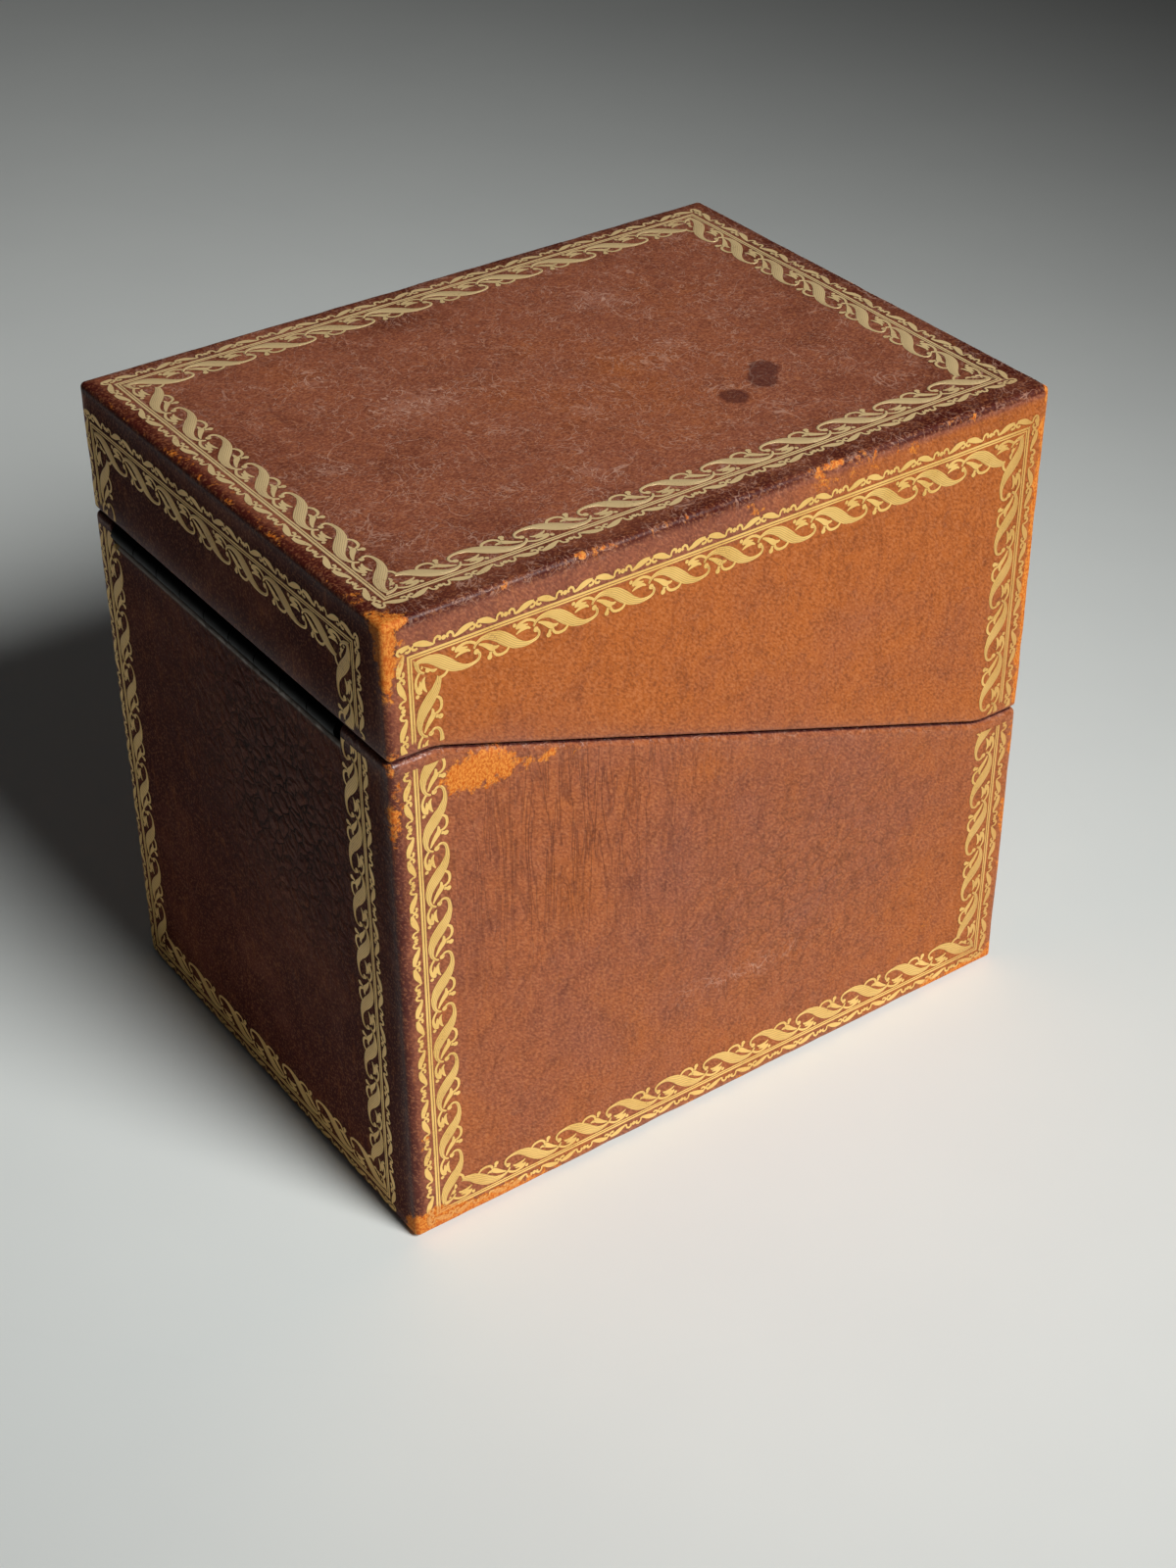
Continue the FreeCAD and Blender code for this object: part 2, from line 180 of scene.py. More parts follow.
COLUMN_STEP, BASE_ROWS = 1.15, 96
CORNER_ZONE = 8.2
CORE = 2.0
EASE, RIM_FLAT = 6.0, 5.0
SHARP = math.radians(50)
CALF_COOL, CALF_WARM, CALF_DEEP_AND_SHADE = (140, 79, 57), (168, 90, 38), (66, 17, 13)
SUEDE_DEEP, SUEDE_PALE = (190, 90, 20), (222, 140, 58)
GRAIN = (0.5, 1.0, 0.5)
# Marks kept on the cover. Besides the leather's own colour, the tone mark paints shade on the back and in
# the gap at the parting line, the stain mark paints shade in that gap, the scuff mark paints a sheen along
# the base's rim, and the bright mark is a painted highlight below the hinge.
MARKS = ("warm", "worn", "scuffed", "stained", "crackled", "creased", "polished", "bright")

# Where the skin is worn through: how far, the middle, and the reach along each axis
WORN = (
    (1.0, (-OUT_X, -OUT_Y, TOP - 40), (2.8, 2.8, 70)),
    (1.1, (-OUT_X, 63, RIM_BACK - 8.5), (3, 9.5, 5.2)),
    (0.55, (-OUT_X, 45, RIM_BACK - 12), (3, 11, 2.6)),
    (1.0, (-OUT_X, 68, FOOT), (4, 21, 4.4)),
    (0.75, (-OUT_X, OUT_Y - 3, FOOT), (4, 7, 8)),
    (0.4, (-OUT_X, -30, TOP - 4), (3, 44, 2.8)),
    (0.55, (-OUT_X, -72, FOOT), (4, 14, 4)),
    (0.42, (-OUT_X, OUT_Y, TOP - 14), (4, 2.4, 18)),
    (0.5, (-OUT_X, OUT_Y - 2.5, TOP - 7), (3, 3.2, 6)),
    (0.34, (-OUT_X + 1, OUT_Y - 1, TOP), (6, 6, 4)),
    (0.42, (-OUT_X, -60, 21), (3, 13, 2.2)),
    (0.5, (-OUT_X, OUT_Y - 1.5, 112), (4, 3.6, 8)),
    (0.45, (-OUT_X, OUT_Y - 3.5, 27), (3, 2.2, 5)),
)
STAINS = (
    (1.1, (-26, -25.5, TOP), (3.6, 3.2, 4)),
    (1.1, (-23.5, -35, TOP), (3.6, 3.0, 4)),
    (1.0, (-19, -39, TOP), (3.8, 3.4, 4)),
)
# Rubbed spots on top: where, and how large
SCUFFS = ((31, 43.5, 4), (31, 9.5, 3.5), (-5, 58.5, 3.5), (-39, 65, 3), (-35, 18, 5), (-13, 3, 5),
          (2, -29, 4), (30, -30, 9), (10, 30, 11))


def parting(depth):
    """Height of the base's rim at a depth: level, bent, slanting, bent, level."""
    depth = np.asarray(depth, float)
    back, front = OUT_Y - LEDGE_BACK, LEDGE_FRONT - OUT_Y
    slope = (RIM_BACK - RIM_FRONT) / (back - front)
    lean = math.atan(slope)
    reach = BEND * math.tan(lean / 2)
    upper = np.sqrt(np.maximum(BEND ** 2 - (depth - back - reach) ** 2, 0)) + RIM_BACK - BEND
    lower = RIM_FRONT + BEND - np.sqrt(np.maximum(BEND ** 2 - (depth - front + reach) ** 2, 0))
    slant = RIM_BACK - (back - depth) * slope
    return np.select(
        [depth >= back + reach, depth >= back - reach * math.cos(lean),
         depth >= front + reach * math.cos(lean), depth >= front - reach],
        [RIM_BACK, upper, slant, lower], RIM_FRONT)


def round_columns(extra_back=()):
    """The columns of a wrap, counted round the box: (side, place along it) or (side, angle past it)."""
    columns = []
    for side in range(4):
        limit = (OUT_X if side in (BACK, FRONT) else OUT_Y) - EDGE_ROUND
        places = list(np.linspace(-limit, limit, round(2 * limit / COLUMN_STEP) + 1))
        if side == BACK:
            places += list(extra_back)
        places.sort(reverse=side in (BACK, LEFT))
        columns += [(side, along, None) for along in places]
        columns += [(side, None, math.radians(90 * side + turn)) for turn in (18, 36, 54, 72)]
    return columns


def ring(columns, inset, radius=None):
    """The columns' places on the outline of the box, drawn in by an inset."""
    if radius is None:
        radius = max(EDGE_ROUND - inset, INNER_ROUND)
    points = []
    for side, along, angle in columns:
        if angle is None:
            lengthwise = side in (BACK, FRONT)
            half, other = (OUT_X, OUT_Y) if lengthwise else (OUT_Y, OUT_X)
            start, outer, inner = half - CORNER_ZONE, half - EDGE_ROUND, half - inset - radius
            reach = abs(along)
            if reach > start:
                reach = start + (reach - start) * (inner - start) / (outer - start)
            across = (other - inset) * (1 if side in (RIGHT, BACK) else -1)
            along = math.copysign(reach, along)
            points.append((along, across) if lengthwise else (across, along))
        else:
            x = math.copysign(OUT_X - inset - radius, math.cos(angle))
            y = math.copysign(OUT_Y - inset - radius, math.sin(angle))
            points.append((x + radius * math.cos(angle), y + radius * math.sin(angle)))
    return np.array(points)


def stacked(columns, rows):
    """The points of rows of (inset, heights), each row once round the box."""
    count = len(columns)
    return np.concatenate([np.column_stack([ring(columns, inset), np.broadcast_to(height, count)])
                           for inset, height in rows])


def wrap(columns, rows):
    """Points and faces of a closed skin from rows round the box."""
    count = len(columns)
    faces = []
    for row in range(len(rows)):
        here, above = row * count, (row + 1) % len(rows) * count
        for column in range(count):
            beside = (column + 1) % count
            faces.append((here + column, here + beside, above + beside, above + column))
    return stacked(columns, rows), faces


def bend(steps, radius):
    """A quarter round as pairs of distances from two walls, from (radius, 0) to (0, radius)."""
    turns = np.linspace(0, math.pi / 2, steps + 1)
    return [(radius * (1 - math.sin(turn)), radius * (1 - math.cos(turn))) for turn in turns]


def rim_rows(level, way, radius):
    """Rows of a wrap at its rim: those round the outer edge, and those inside it and back under the skin.

    The way is -1 where the leather hangs below its rim, as on the base, and 1 where it stands above it.
    """
    brim = [(near, level + way * far) for far, near in bend(6, radius)]
    ledge = [(inset, level) for inset in np.linspace(radius, WALL - INNER_ROUND, 6)[1:-1]]
    lip = [(WALL - far, level + way * near) for far, near in bend(3, INNER_ROUND)]
    turned = [(WALL, level + way * depth) for depth in np.linspace(INNER_ROUND, TURN_IN, 7)[1:]]
    flesh = [(WALL - LINING, level + way * TURN_IN), (WALL - LINING, level + way * LEATHER),
             (LEATHER, level + way * LEATHER)]
    return brim, ledge + lip + turned + flesh


def ramp(value, length):
    """Rises from 0 to 1 as a value goes from 0 to a length, and is held at both ends."""
    return np.clip(value / length, 0, 1)


def sway(points, size, seed):
    """Noise from -1 to 1 at each point, with features about size across."""
    shift = Vector((seed, 2 * seed, 3 * seed))
    return np.array([noise.noise(Vector(point / size) + shift) for point in points])


def patch(points, middle, reach):
    """A soft patch, 1 in its middle, with its reach along each axis."""
    away = (points - np.array(middle)) / np.array(reach)
    return np.exp(-np.sum(away ** 2, axis=1))


def edge_nearness(points, reach):
    """How near each point is to an outer edge of the shut box, from 0 to 1."""
    gaps = np.stack([OUT_X - abs(points[:, 0]), OUT_Y - abs(points[:, 1]),
                     np.minimum(TOP - points[:, 2], points[:, 2] - FOOT)], axis=1)
    gaps = np.sort(np.maximum(gaps, 0), axis=1)
    return np.exp(-(gaps[:, 0] + gaps[:, 1]) / reach)


def leather_marks(points):
    """How old use, painted shade and painted highlights show at each point of the cover, as a share for each
    of the marks.
    """
    x, y, z = points.T
    side, right, front, back = (ramp(past + 4, 3) for past in (-x - OUT_X, x - OUT_X, -y - OUT_Y, y - OUT_Y))
    upper = ramp(z - TOP + 3, 2)
    rim_gap = np.abs(z - parting(y))
    on_lid = (z > parting(y) + LID_GAP / 2).astype(float)
    lid_side, base_side = side * on_lid, side * (1 - on_lid)
    walls = np.clip(side + front + right, 0, 1) * (1 - upper)
    back_edge = patch(points, (0, OUT_Y - 1.5, TOP), (90, 3.4, 3))
    band = ramp(z - TOP + 10.5, 2.5) * ramp(y + 55, 60) * side * (1 - upper)
    near_edge = side * ramp(y - OUT_Y + 9, 3)
    inset = np.minimum(OUT_X - abs(x), OUT_Y - abs(y))
    # The gap between lid and base, seen from outside: painted dark as painted shade
    gap_shade = ramp(inset - 0.5, 0.6) * (rim_gap < 6) * (1 - upper)
    beside_leaf = (x > leaf_low[0] - 1) * (x < leaf_high[0] + 1)
    # A thin pale line along the back just below the hinge leaf: a painted highlight
    bright = back * np.exp(-((z - leaf_low[2] + 0.6) / 0.3) ** 2) * beside_leaf

    # How warm the brown is: tan on the walls, darker on the side just above the lid's lower edge, near black
    # along the top of the side; the back is painted near black as painted shade, and the gap at the parting
    # line is painted dark as painted shade
    warm = 0.22 + walls * (0.2 + 0.35 * on_lid + 0.2 * on_lid * ramp(z - 100, 50))
    # The back is painted darker here, as painted shade
    warm += 0.35 * base_side * patch(points, (-OUT_X, -60, 20), (20, 40, 40)) - 0.8 * back
    warm -= np.maximum(0.95 * band, near_edge * (0.17 + 0.22 * on_lid))
    warm -= 0.5 * lid_side * np.exp(-(z - parting(y)) / 3) * ramp(y + 50, 60)
    top_glow = 0.3 * patch(points, (-5, -8, TOP), (38, 36, 20)) - 0.6 * edge_nearness(points, 13)
    warm += upper * (top_glow - 0.2)
    # The gap at the parting line is painted dark here, as painted shade
    warm += 0.55 * back_edge - 1.5 * gap_shade

    # Worn through along the edges, here and there, and in the patches listed above
    patchy = np.clip(0.45 + 1.3 * sway(points, 13, 7), 0, 1)
    worn = 0.85 * edge_nearness(points, 1.3) * patchy * (1 - 0.4 * back)
    worn += sum(share * patch(points, middle, reach) for share, middle, reach in WORN)
    worn += 0.3 * back_edge * (y < OUT_Y - 0.3)

    # Scuffs and stains on top, a painted sheen along the base's rim, the gap at the parting line painted
    # dark as painted shade, crackle on the back, creases under the side's rim, polish at the edges
    scuffed = 0.42 * upper + 0.12 * walls + 0.6 * base_side * np.exp(-rim_gap / 0.8) - 0.42 * back_edge
    scuffed += 0.6 * patch(points, (-OUT_X, -3, 33), (3, 16, 2.5))
    scuffed += sum(0.45 * patch(points, (across, along, TOP), (size * 0.7, size * 0.9, 5))
                   for across, along, size in SCUFFS)
    stained = sum(share * patch(points, middle, reach) for share, middle, reach in STAINS)
    # Real stains on top, and the gap at the parting line painted dark as painted shade
    stained += 0.12 * upper * edge_nearness(points, 5) + gap_shade
    crackled = back * (1 - on_lid) * patch(points, (-16, OUT_Y, 92), (32, 5, 32))
    crackled += 0.3 * base_side * patch(points, (-OUT_X, -22, 50), (5, 42, 36))
    creased = base_side * (1.1 * patch(points, (-OUT_X, 42, 92), (5, 34, 30)) + 0.05)
    creased += 0.15 * side + 0.15 * right
    polished = np.exp(-rim_gap / 2) + edge_nearness(points, 1.2) + 0.25 * band - 0.27 * back + 1.2 * bright
    return dict(zip(MARKS, (warm, worn, scuffed, stained, crackled, creased, polished, bright)))


def settle(points, outer, hold):
    """Lays the outer skin unevenly, as pasted leather lies: slow waves, and edges knocked in."""
    skin = points[outer]
    core = np.array([OUT_X - CORE, OUT_Y - CORE, TOP / 2 - CORE])
    middle = np.array([0, 0, TOP / 2])
    outward = skin - middle - np.clip(skin - middle, -core, core)
    outward /= np.linalg.norm(outward, axis=1)[:, None]
    waves = 0.16 * sway(skin, 34, 1) + 0.06 * sway(skin, 12, 2)
    dents = 0.05 + 0.3 * np.maximum(sway(skin, 7, 3), 0) + 0.06 * np.maximum(sway(skin, 2.6, 4), -0.3)
    settled = points.copy()
    settled[outer] += (waves * hold[outer] - edge_nearness(skin, 1.2) * dents)[:, None] * outward
    return settled


def put(name, data):
    """A new object in the scene."""
    made = bpy.data.objects.new(name, data)
    bpy.context.scene.collection.objects.link(made)
    return made


def new_piece(name, points, faces, material, body):
    """A piece in the frame from points in millimetres, riding on a body, with smooth faces."""
    mesh = bpy.data.meshes.new(name)
    mesh.from_pydata((np.asarray(points) * MM).tolist(), [], faces)
    mesh.shade_smooth()
    mesh.set_sharp_from_angle(angle=SHARP)
    mesh.materials.append(material)
    made = put(name, mesh)
    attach(made, body)
    return made


def store(mesh, name, values, kind="FLOAT"):
    """Keeps one value for each point as a named attribute."""
    layer = mesh.attributes.new(name, kind, "POINT")
    field = "vector" if kind == "FLOAT_VECTOR" else "value"
    layer.data.foreach_set(field, np.asarray(values).ravel())


def cover(name, points, faces, body):
    """A piece of the cover, with its marks of use, painted shade and painted highlights kept on it."""
    made = new_piece(name, points, faces, old_calf, body)
    for share, values in leather_marks(points).items():
        store(made.data, share, values)
    return made


def plus(tree, first, second):
    return tree.maths("ADD", first, second)


def less(tree, first, second):
    return tree.maths("SUBTRACT", first, second)


def vector(tree, operation, first, second):
    """One sum on two vectors, or a vector scaled by a value."""
    other = "Scale" if operation == "SCALE" else 1
    return tree.node("ShaderNodeVectorMath", {0: first, other: second}, operation=operation).outputs[0]


def astray(finish, where, size, amount):
    """A place moved about by noise, so that a regular pattern on it turns ragged."""
    sockets = {"Vector": where, "Scale": 1 / size, "Detail": 2}
    wander = finish.node("ShaderNodeTexNoise", sockets).outputs["Color"]
    middle = vector(finish, "SUBTRACT", wander, (0.5, 0.5, 0.5))
    return vector(finish, "ADD", where, vector(finish, "SCALE", middle, amount))


def mark(finish, name):
    """A share that the mesh keeps under a name."""
    return finish.node("ShaderNodeAttribute", attribute_name=name).outputs["Fac"]


def about(finish, value, gain):
    """Noise swung about zero, with a gain."""
    return finish.times(less(finish, value, 0.5), gain)


def ridge(finish, value, width):
    """Thin lines where noise passes through its middle."""
    return finish.between(finish.maths("ABSOLUTE", less(finish, value, 0.5)), width, 0.0)


def coats(finish, colour, layers):
    """Coats over a colour, each given as its share, its strength and its paint."""
    for share, strength, over in layers:
        colour = finish.coat(finish.times(share, strength), colour, paint(*over))
    return colour


def bared(finish, here, worn):
    """Where the skin of the leather is worn through, ragged at its edges, and the suede seen there."""
    ragged = about(finish, finish.clouds(here, 1.4, 4, 0.7), 1.1)
    knocked = about(finish, finish.clouds(here, 6, 5, 0.65, 0.4), 1.6)
    bare = finish.between(plus(finish, worn, plus(finish, ragged, knocked)), 0.46, 0.66)
    pores = finish.clouds(finish.place((1, 1, 0.8)), 0.55, 3, 0.75)
    return bare, finish.coat(finish.between(pores, 0.4, 0.6), paint(*SUEDE_DEEP), paint(*SUEDE_PALE))


def leather_finish():
    """Old brown calf: mottled, grained, creased, rubbed to tan where hands and shelves touched it."""
    calf = Finish("old_calf")
    warm, worn, scuffed, stained, crackled, creased, polished, bright = (mark(calf, name) for name in MARKS)
    here = calf.place()
    broad = calf.clouds(here, 24, 5, 0.62, 0.3)
    mottle = calf.clouds(here, 6, 5, 0.65, 0.4)
    fine = calf.clouds(here, 1.4, 4, 0.7)
    brushed = calf.clouds(calf.place((1, 1, 0.3)), 2.2, 5, 0.7, 0.6)
    spot = calf.node("ShaderNodeTexCoord").outputs["Object"]
    turned = {"Vector": spot, "Rotation": (math.radians(45), 0, 0),
              "Scale": tuple(share * MM for share in GRAIN)}
    slanted = calf.node("ShaderNodeMapping", turned, vector_type="TEXTURE").outputs["Vector"]
    grain = calf.clouds(slanted, 1.0, 2, 0.5, 0.4)
    cells = {"Vector": astray(calf, here, 3.4, 3.6), "Scale": 1 / 3.9}
    net = calf.node("ShaderNodeTexVoronoi", cells, feature="DISTANCE_TO_EDGE").outputs["Distance"]

    shaded_tone = plus(calf, warm, about(calf, broad, 1.35))
    rubbed = plus(calf, scuffed, about(calf, fine, 1.8))
    hairs = 0.0
    for size, width in ((16, 0.006), (8, 0.009), (4.5, 0.012)):
        hairs = calf.maths("MAXIMUM", hairs, ridge(calf, calf.clouds(here, size, 3, 0.5, 1.0), width))
    hairs = calf.times(calf.times(hairs, calf.between(scuffed, 0.0, 0.7)), calf.between(mottle, 0.3, 0.55))
    cracks = calf.times(calf.between(net, 0.09, 0.0), calf.between(mottle, 0.3, 0.5))
    cracks = calf.times(cracks, crackled)
    wrinkles = calf.clouds(calf.place((1, 1, 0.12)), 3.4, 3, 0.55, 0.9)
    folds = calf.times(ridge(calf, wrinkles, 0.05), creased)
    blot = plus(calf, stained, about(calf, fine, 0.5))
    colour = calf.coat(calf.between(shaded_tone, 0.0, 1.0), paint(*CALF_COOL), paint(*CALF_WARM))
    colour = coats(calf, colour, (
        # The deep colour is the dark band along the top of the side, and painted shade on the back and in
        # the gap at the parting line
        (calf.between(shaded_tone, 0.1, -0.7), 1.0, CALF_DEEP_AND_SHADE),
        (calf.between(mottle, 0.45, 0.75), 0.32, (80, 39, 31)),
        (calf.between(brushed, 0.5, 0.7), 0.28, (86, 41, 29)),
        (calf.between(brushed, 0.48, 0.3), 0.18, (190, 112, 58)),
        (calf.between(grain, 0.5, 0.66), 0.36, (70, 33, 24)),
        (calf.between(grain, 0.5, 0.34), 0.22, (206, 138, 94)),
        # The rubbed coat is real scuffing, and a painted sheen along the base's rim
        (calf.between(rubbed, 0.5, 1.2), 0.4, (186, 136, 116)),
        (hairs, 0.62, (206, 162, 140)),
        (crackled, 0.5, (112, 80, 72)),
        (cracks, 1.0, (10, 5, 4)),
        (folds, 0.34, (78, 36, 28)),
        # The blot is the real stains, and painted shade in the gap at the parting line
        (calf.between(blot, 0.3, 0.6), 0.62, (54, 22, 28)),
        # A painted highlight: the thin pale line below the hinge
        (bright, 0.9, (230, 220, 208)),
    ))
    bare, suede = bared(calf, here, worn)
    colour = calf.coat(calf.times(bare, 0.9), colour, suede)
    dull = less(calf, plus(calf, about(calf, mottle, 0.3), 0.46), calf.times(polished, 0.2))
    puffed = calf.times(calf.between(net, 0.0, 0.42), crackled)
    normal = None
    for height, depth, strength in ((grain, 0.06, 0.5), (fine, 0.03, 0.4), (puffed, 0.7, 1.0),
                                    (less(calf, 1.0, folds), 0.12, 0.8), (less(calf, 1.0, bare), 0.1, 0.8)):
        normal = calf.emboss(height, depth, strength, normal)
    return calf.done({"Base Color": colour, "Normal": normal,
                      "Roughness": calf.maths("MAXIMUM", dull, calf.times(bare, 0.75)),
                      "Specular IOR Level": plus(calf, calf.times(polished, 0.3), 0.1)})


old_calf = leather_finish()
recess_start, recess_end = leaf_low[0] - RECESS_PLAY, leaf_high[0] + RECESS_PLAY
recess_drop = RIM_BACK - leaf_low[2]


def base_rim(column):
    """Height of the base's rim at a column: the parting line, but for the hinge recess in the back."""
    side, along, angle = column
    if angle is None and side in (RIGHT, LEFT):
        return float(parting(along))
    if angle is None and side == BACK:
        inside = min(along - recess_start, recess_end - along)
        share = np.clip(inside / RECESS_LIP + 1, 0, 1)
        return RIM_BACK - recess_drop * share * share * (3 - 2 * share)
    return RIM_BACK if math.sin(angle or -1) > 0 else RIM_FRONT


lips = [end + turn * step for end, turn in ((recess_start, -1), (recess_end, 1))
        for step in np.linspace(0, RECESS_LIP, 6)]
columns = round_columns(lips)
rim = np.array([base_rim(column) for column in columns])
foot = [(far, FOOT + near) for far, near in bend(4, FOOT_ROUND)]
wall = [(0, FOOT + FOOT_ROUND + (rim - RIM_ROUND - FOOT - FOOT_ROUND) * share)
        for share in np.linspace(0, 1, BASE_ROWS + 1)[1:-1]]
brim, inside = rim_rows(rim, -1, RIM_ROUND)
outside = foot + wall + brim
rows = outside + inside + [(LEATHER, FOOT)]
points, faces = wrap(columns, rows)
outer = np.arange(len(points)) < len(columns) * len(outside)
edge_gap = np.minimum(np.tile(rim, len(rows)) - points[:, 2], points[:, 2] - FOOT)
points = settle(points, outer, ramp(edge_gap - RIM_FLAT, EASE))
base_leather = cover("base_leather_wrap", points, faces, "base")
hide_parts("base_leather")

# Lid leather: a wrap round the lid's walls, turned in at its lower edge, and a sheet over the top that is
# drawn down round the edges until it meets the wrap. Both are the same calf as the base.
LID_ROUND, TOP_ROUND = 1.1, TOP - top_low[2]
LID_ROWS = 72
columns = round_columns()
low = np.array([base_rim((side, along, angle)) if side != BACK or angle else RIM_BACK
                for side, along, angle in columns]) + LID_GAP
seam = TOP - TOP_ROUND
wall = [(0, low + LID_ROUND + (seam - low - LID_ROUND) * share)
        for share in np.linspace(0, 1, LID_ROWS + 1)[1:]]
brim, inside = rim_rows(low, 1, LID_ROUND)
rows = inside[::-1] + brim[::-1] + wall + [(LEATHER, seam)]
points, faces = wrap(columns, rows)
row_of = np.arange(len(points)) // len(columns)
outer = (row_of >= len(inside)) & (row_of < len(rows) - 1)
hold = ramp(points[:, 2] - np.tile(low, len(rows)), EASE) * ramp(seam - points[:, 2], EASE)
lid_leather = cover("lid_leather_wrap", settle(points, outer, hold), faces, "lid")
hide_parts("lid_side_leather")


def grid_faces(start, across, along):
    """Faces of a grid of points, laid out in rows from a first point."""
    corners = [start + row * across + column for row in range(along - 1) for column in range(across - 1)]
    return [(c, c + 1, c + across + 1, c + across) for c in corners]


def top_sheet():
    """Points and faces of the sheet over the lid: rings down the rounded edge, and a grid on the flat."""
    rings = [(near, TOP - far) for far, near in bend(9, TOP_ROUND)]
    count = len(columns)
    inner = ring(columns, TOP_ROUND + INNER_ROUND, 0.0)
    straight = [(side, spot) for (side, along, angle), spot in zip(columns, inner) if angle is None]
    xs = sorted(spot[0] for side, spot in straight if side == BACK)
    ys = sorted(spot[1] for side, spot in straight if side == RIGHT)
    flat = np.array([(x, y, TOP) for y in ys for x in xs])
    start = count * len(rings)

    def on_grid(point):
        column = int(np.argmin(np.abs(np.array(xs) - point[0])))
        return start + int(np.argmin(np.abs(np.array(ys) - point[1]))) * len(xs) + column

    edge = [on_grid(point) for point in inner]
    faces = []
    for step in range(len(rings)):
        for column in range(count):
            beside = (column + 1) % count
            face = [step * count + column, step * count + beside]
            if step + 1 < len(rings):
                face += [(step + 1) * count + beside, (step + 1) * count + column]
            else:
                face += [edge[beside], edge[column]]
            faces.append(tuple(dict.fromkeys(face)))
    faces += grid_faces(start, len(xs), len(ys))
    return np.concatenate([stacked(columns, rings), flat]), faces


def thicken(sheet, thickness):
    """Gives a sheet its thickness, inwards from its face."""
    made = sheet.modifiers.new("thickness", "SOLIDIFY")
    made.thickness = thickness * MM
    made.offset = -1


points, faces = top_sheet()
hold = ramp(np.minimum(OUT_X - abs(points[:, 0]), OUT_Y - abs(points[:, 1])), EASE)
lid_top = cover("lid_top_sheet", settle(points, np.ones(len(points), bool), hold), faces, "lid")
for edge in lid_top.data.edges:
    edge.use_edge_sharp = max(edge.vertices) < len(columns)
thicken(lid_top, LEATHER)
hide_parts("lid_top_leather")

# Gilding: gold leaf pressed into the leather with an engraved roll, one frame to a face: a row of small
# leaves, a double line, and a band of S-shaped leaves with scrolls between them, mitred at the corners.
PITCH, BAND = 14.1, 6.65
FIRST_TURN, LAST_TURN = 6.8, 3.5
LINES = ((2.74, 0.5), (3.35, 0.36))
CUT_PITCH, THINNEST = 0.42, 0.08
GOLD_LIFT, PROBE = 0.05, 3
BARE_BELOW, BARE_ABOVE = 2.6, 1.2
STAMPS = ("Turn", "Start", "End")


def smooth_run(controls, count):
    """Points on a smooth curve through the controls, evenly shared out between them."""
    controls = np.asarray(controls, float)
    padded = np.vstack([2 * controls[0] - controls[1], controls, 2 * controls[-1] - controls[-2]])
    made = []
    for spot in np.linspace(0, len(controls) - 1, count):
        start = min(int(spot), len(controls) - 2)
        t = spot - start
        a, b, c, d = padded[start:start + 4]
        made.append(0.5 * (2 * b + (c - a) * t + (2 * a - 5 * b + 4 * c - d) * t ** 2
                           + (3 * b - a - 3 * c + d) * t ** 3))
    return np.array(made)


def sliced(mesh, spot, normal, chosen=None, **cleared):
    """Cuts a mesh, or its chosen faces, along a plane and clears one side of it."""
    work = bmesh.new()
    work.from_mesh(mesh)
    faces = [face for face in work.faces if chosen is None or chosen(face)]
    parts = faces + list({edge for face in faces for edge in face.edges})
    parts += list({corner for face in faces for corner in face.verts})
    bmesh.ops.bisect_plane(work, geom=parts, plane_co=spot, plane_no=normal, **cleared)
    work.to_mesh(mesh)
    work.free()


class Stamp:
    """The raised drawing on the engraved roll: flat strokes, with their relief and the cutter's lines."""

    def __init__(self):
        self.points, self.faces, self.relief, self.lines = [], [], [], []

    def stroke(self, controls, count, across=1, height=0.04, engraved=False):
        """A leaf or a stem along controls of (x, y, width), across strips wide and raised in its middle."""
        run = smooth_run(controls, count)
        ahead = np.gradient(run[:, :2], axis=0)
        ahead /= np.linalg.norm(ahead, axis=1)[:, None]
        aside = np.column_stack([-ahead[:, 1], ahead[:, 0]])
        length = np.concatenate([[0], np.cumsum(np.linalg.norm(np.diff(run[:, :2], axis=0), axis=1))])
        start = len(self.points)
        for i in range(count):
            for share in np.linspace(-0.5, 0.5, across + 1):
                width = max(run[i, 2], THINNEST)
                self.points.append(run[i, :2] + aside[i] * share * width)
                self.relief.append(height * (1 - 4 * share ** 2) if across > 1 else height)
                self.lines.append((length[i], share * width if engraved else 0.0))
        for i in range(count - 1):
            for strip in range(across):
                near = start + i * (across + 1) + strip
                far = near + across + 1
                self.faces.append((near, far, far + 1, near + 1))

    def bead(self, x, y, radius):
        """A small round bead."""
        start = len(self.points)
        for turn in np.linspace(0, 2 * math.pi, 8, endpoint=False):
            self.points.append(np.array([x + radius * math.cos(turn), y + radius * math.sin(turn)]))
            self.relief.append(0.05)
            self.lines.append((radius * math.cos(turn), 0.0))
        self.faces.append(tuple(range(start, start + 8)))

    def cut(self, name, offsets=(0.0,), mitre=None):
        """The drawing as a mesh object kept out of the scene, repeated at offsets and cut along a mitre.

        The mitre is where it starts on the outer edge and which way it leans: 1 cuts the start, -1 the end.
        """
        mesh = bpy.data.meshes.new(name)
        count = len(self.points)
        flat = [((x + offset) * MM, y * MM, 0.0) for offset in offsets for x, y in self.points]
        starts = range(0, len(flat), count)
        faces = [tuple(start + i for i in face) for start in starts for face in self.faces]
        mesh.from_pydata(flat, [], faces)
        store(mesh, "relief", np.tile(self.relief, len(offsets)) * MM)
        layer = mesh.uv_layers.new(name="lines")
        for loop in mesh.loops:
            layer.data[loop.index].uv = self.lines[loop.vertex_index % count]
        if mitre:
            start, lean = mitre
            sliced(mesh, (start * MM, 0, 0), (lean, -1, 0), clear_inner=True)
        return bpy.data.objects.new(name, mesh)


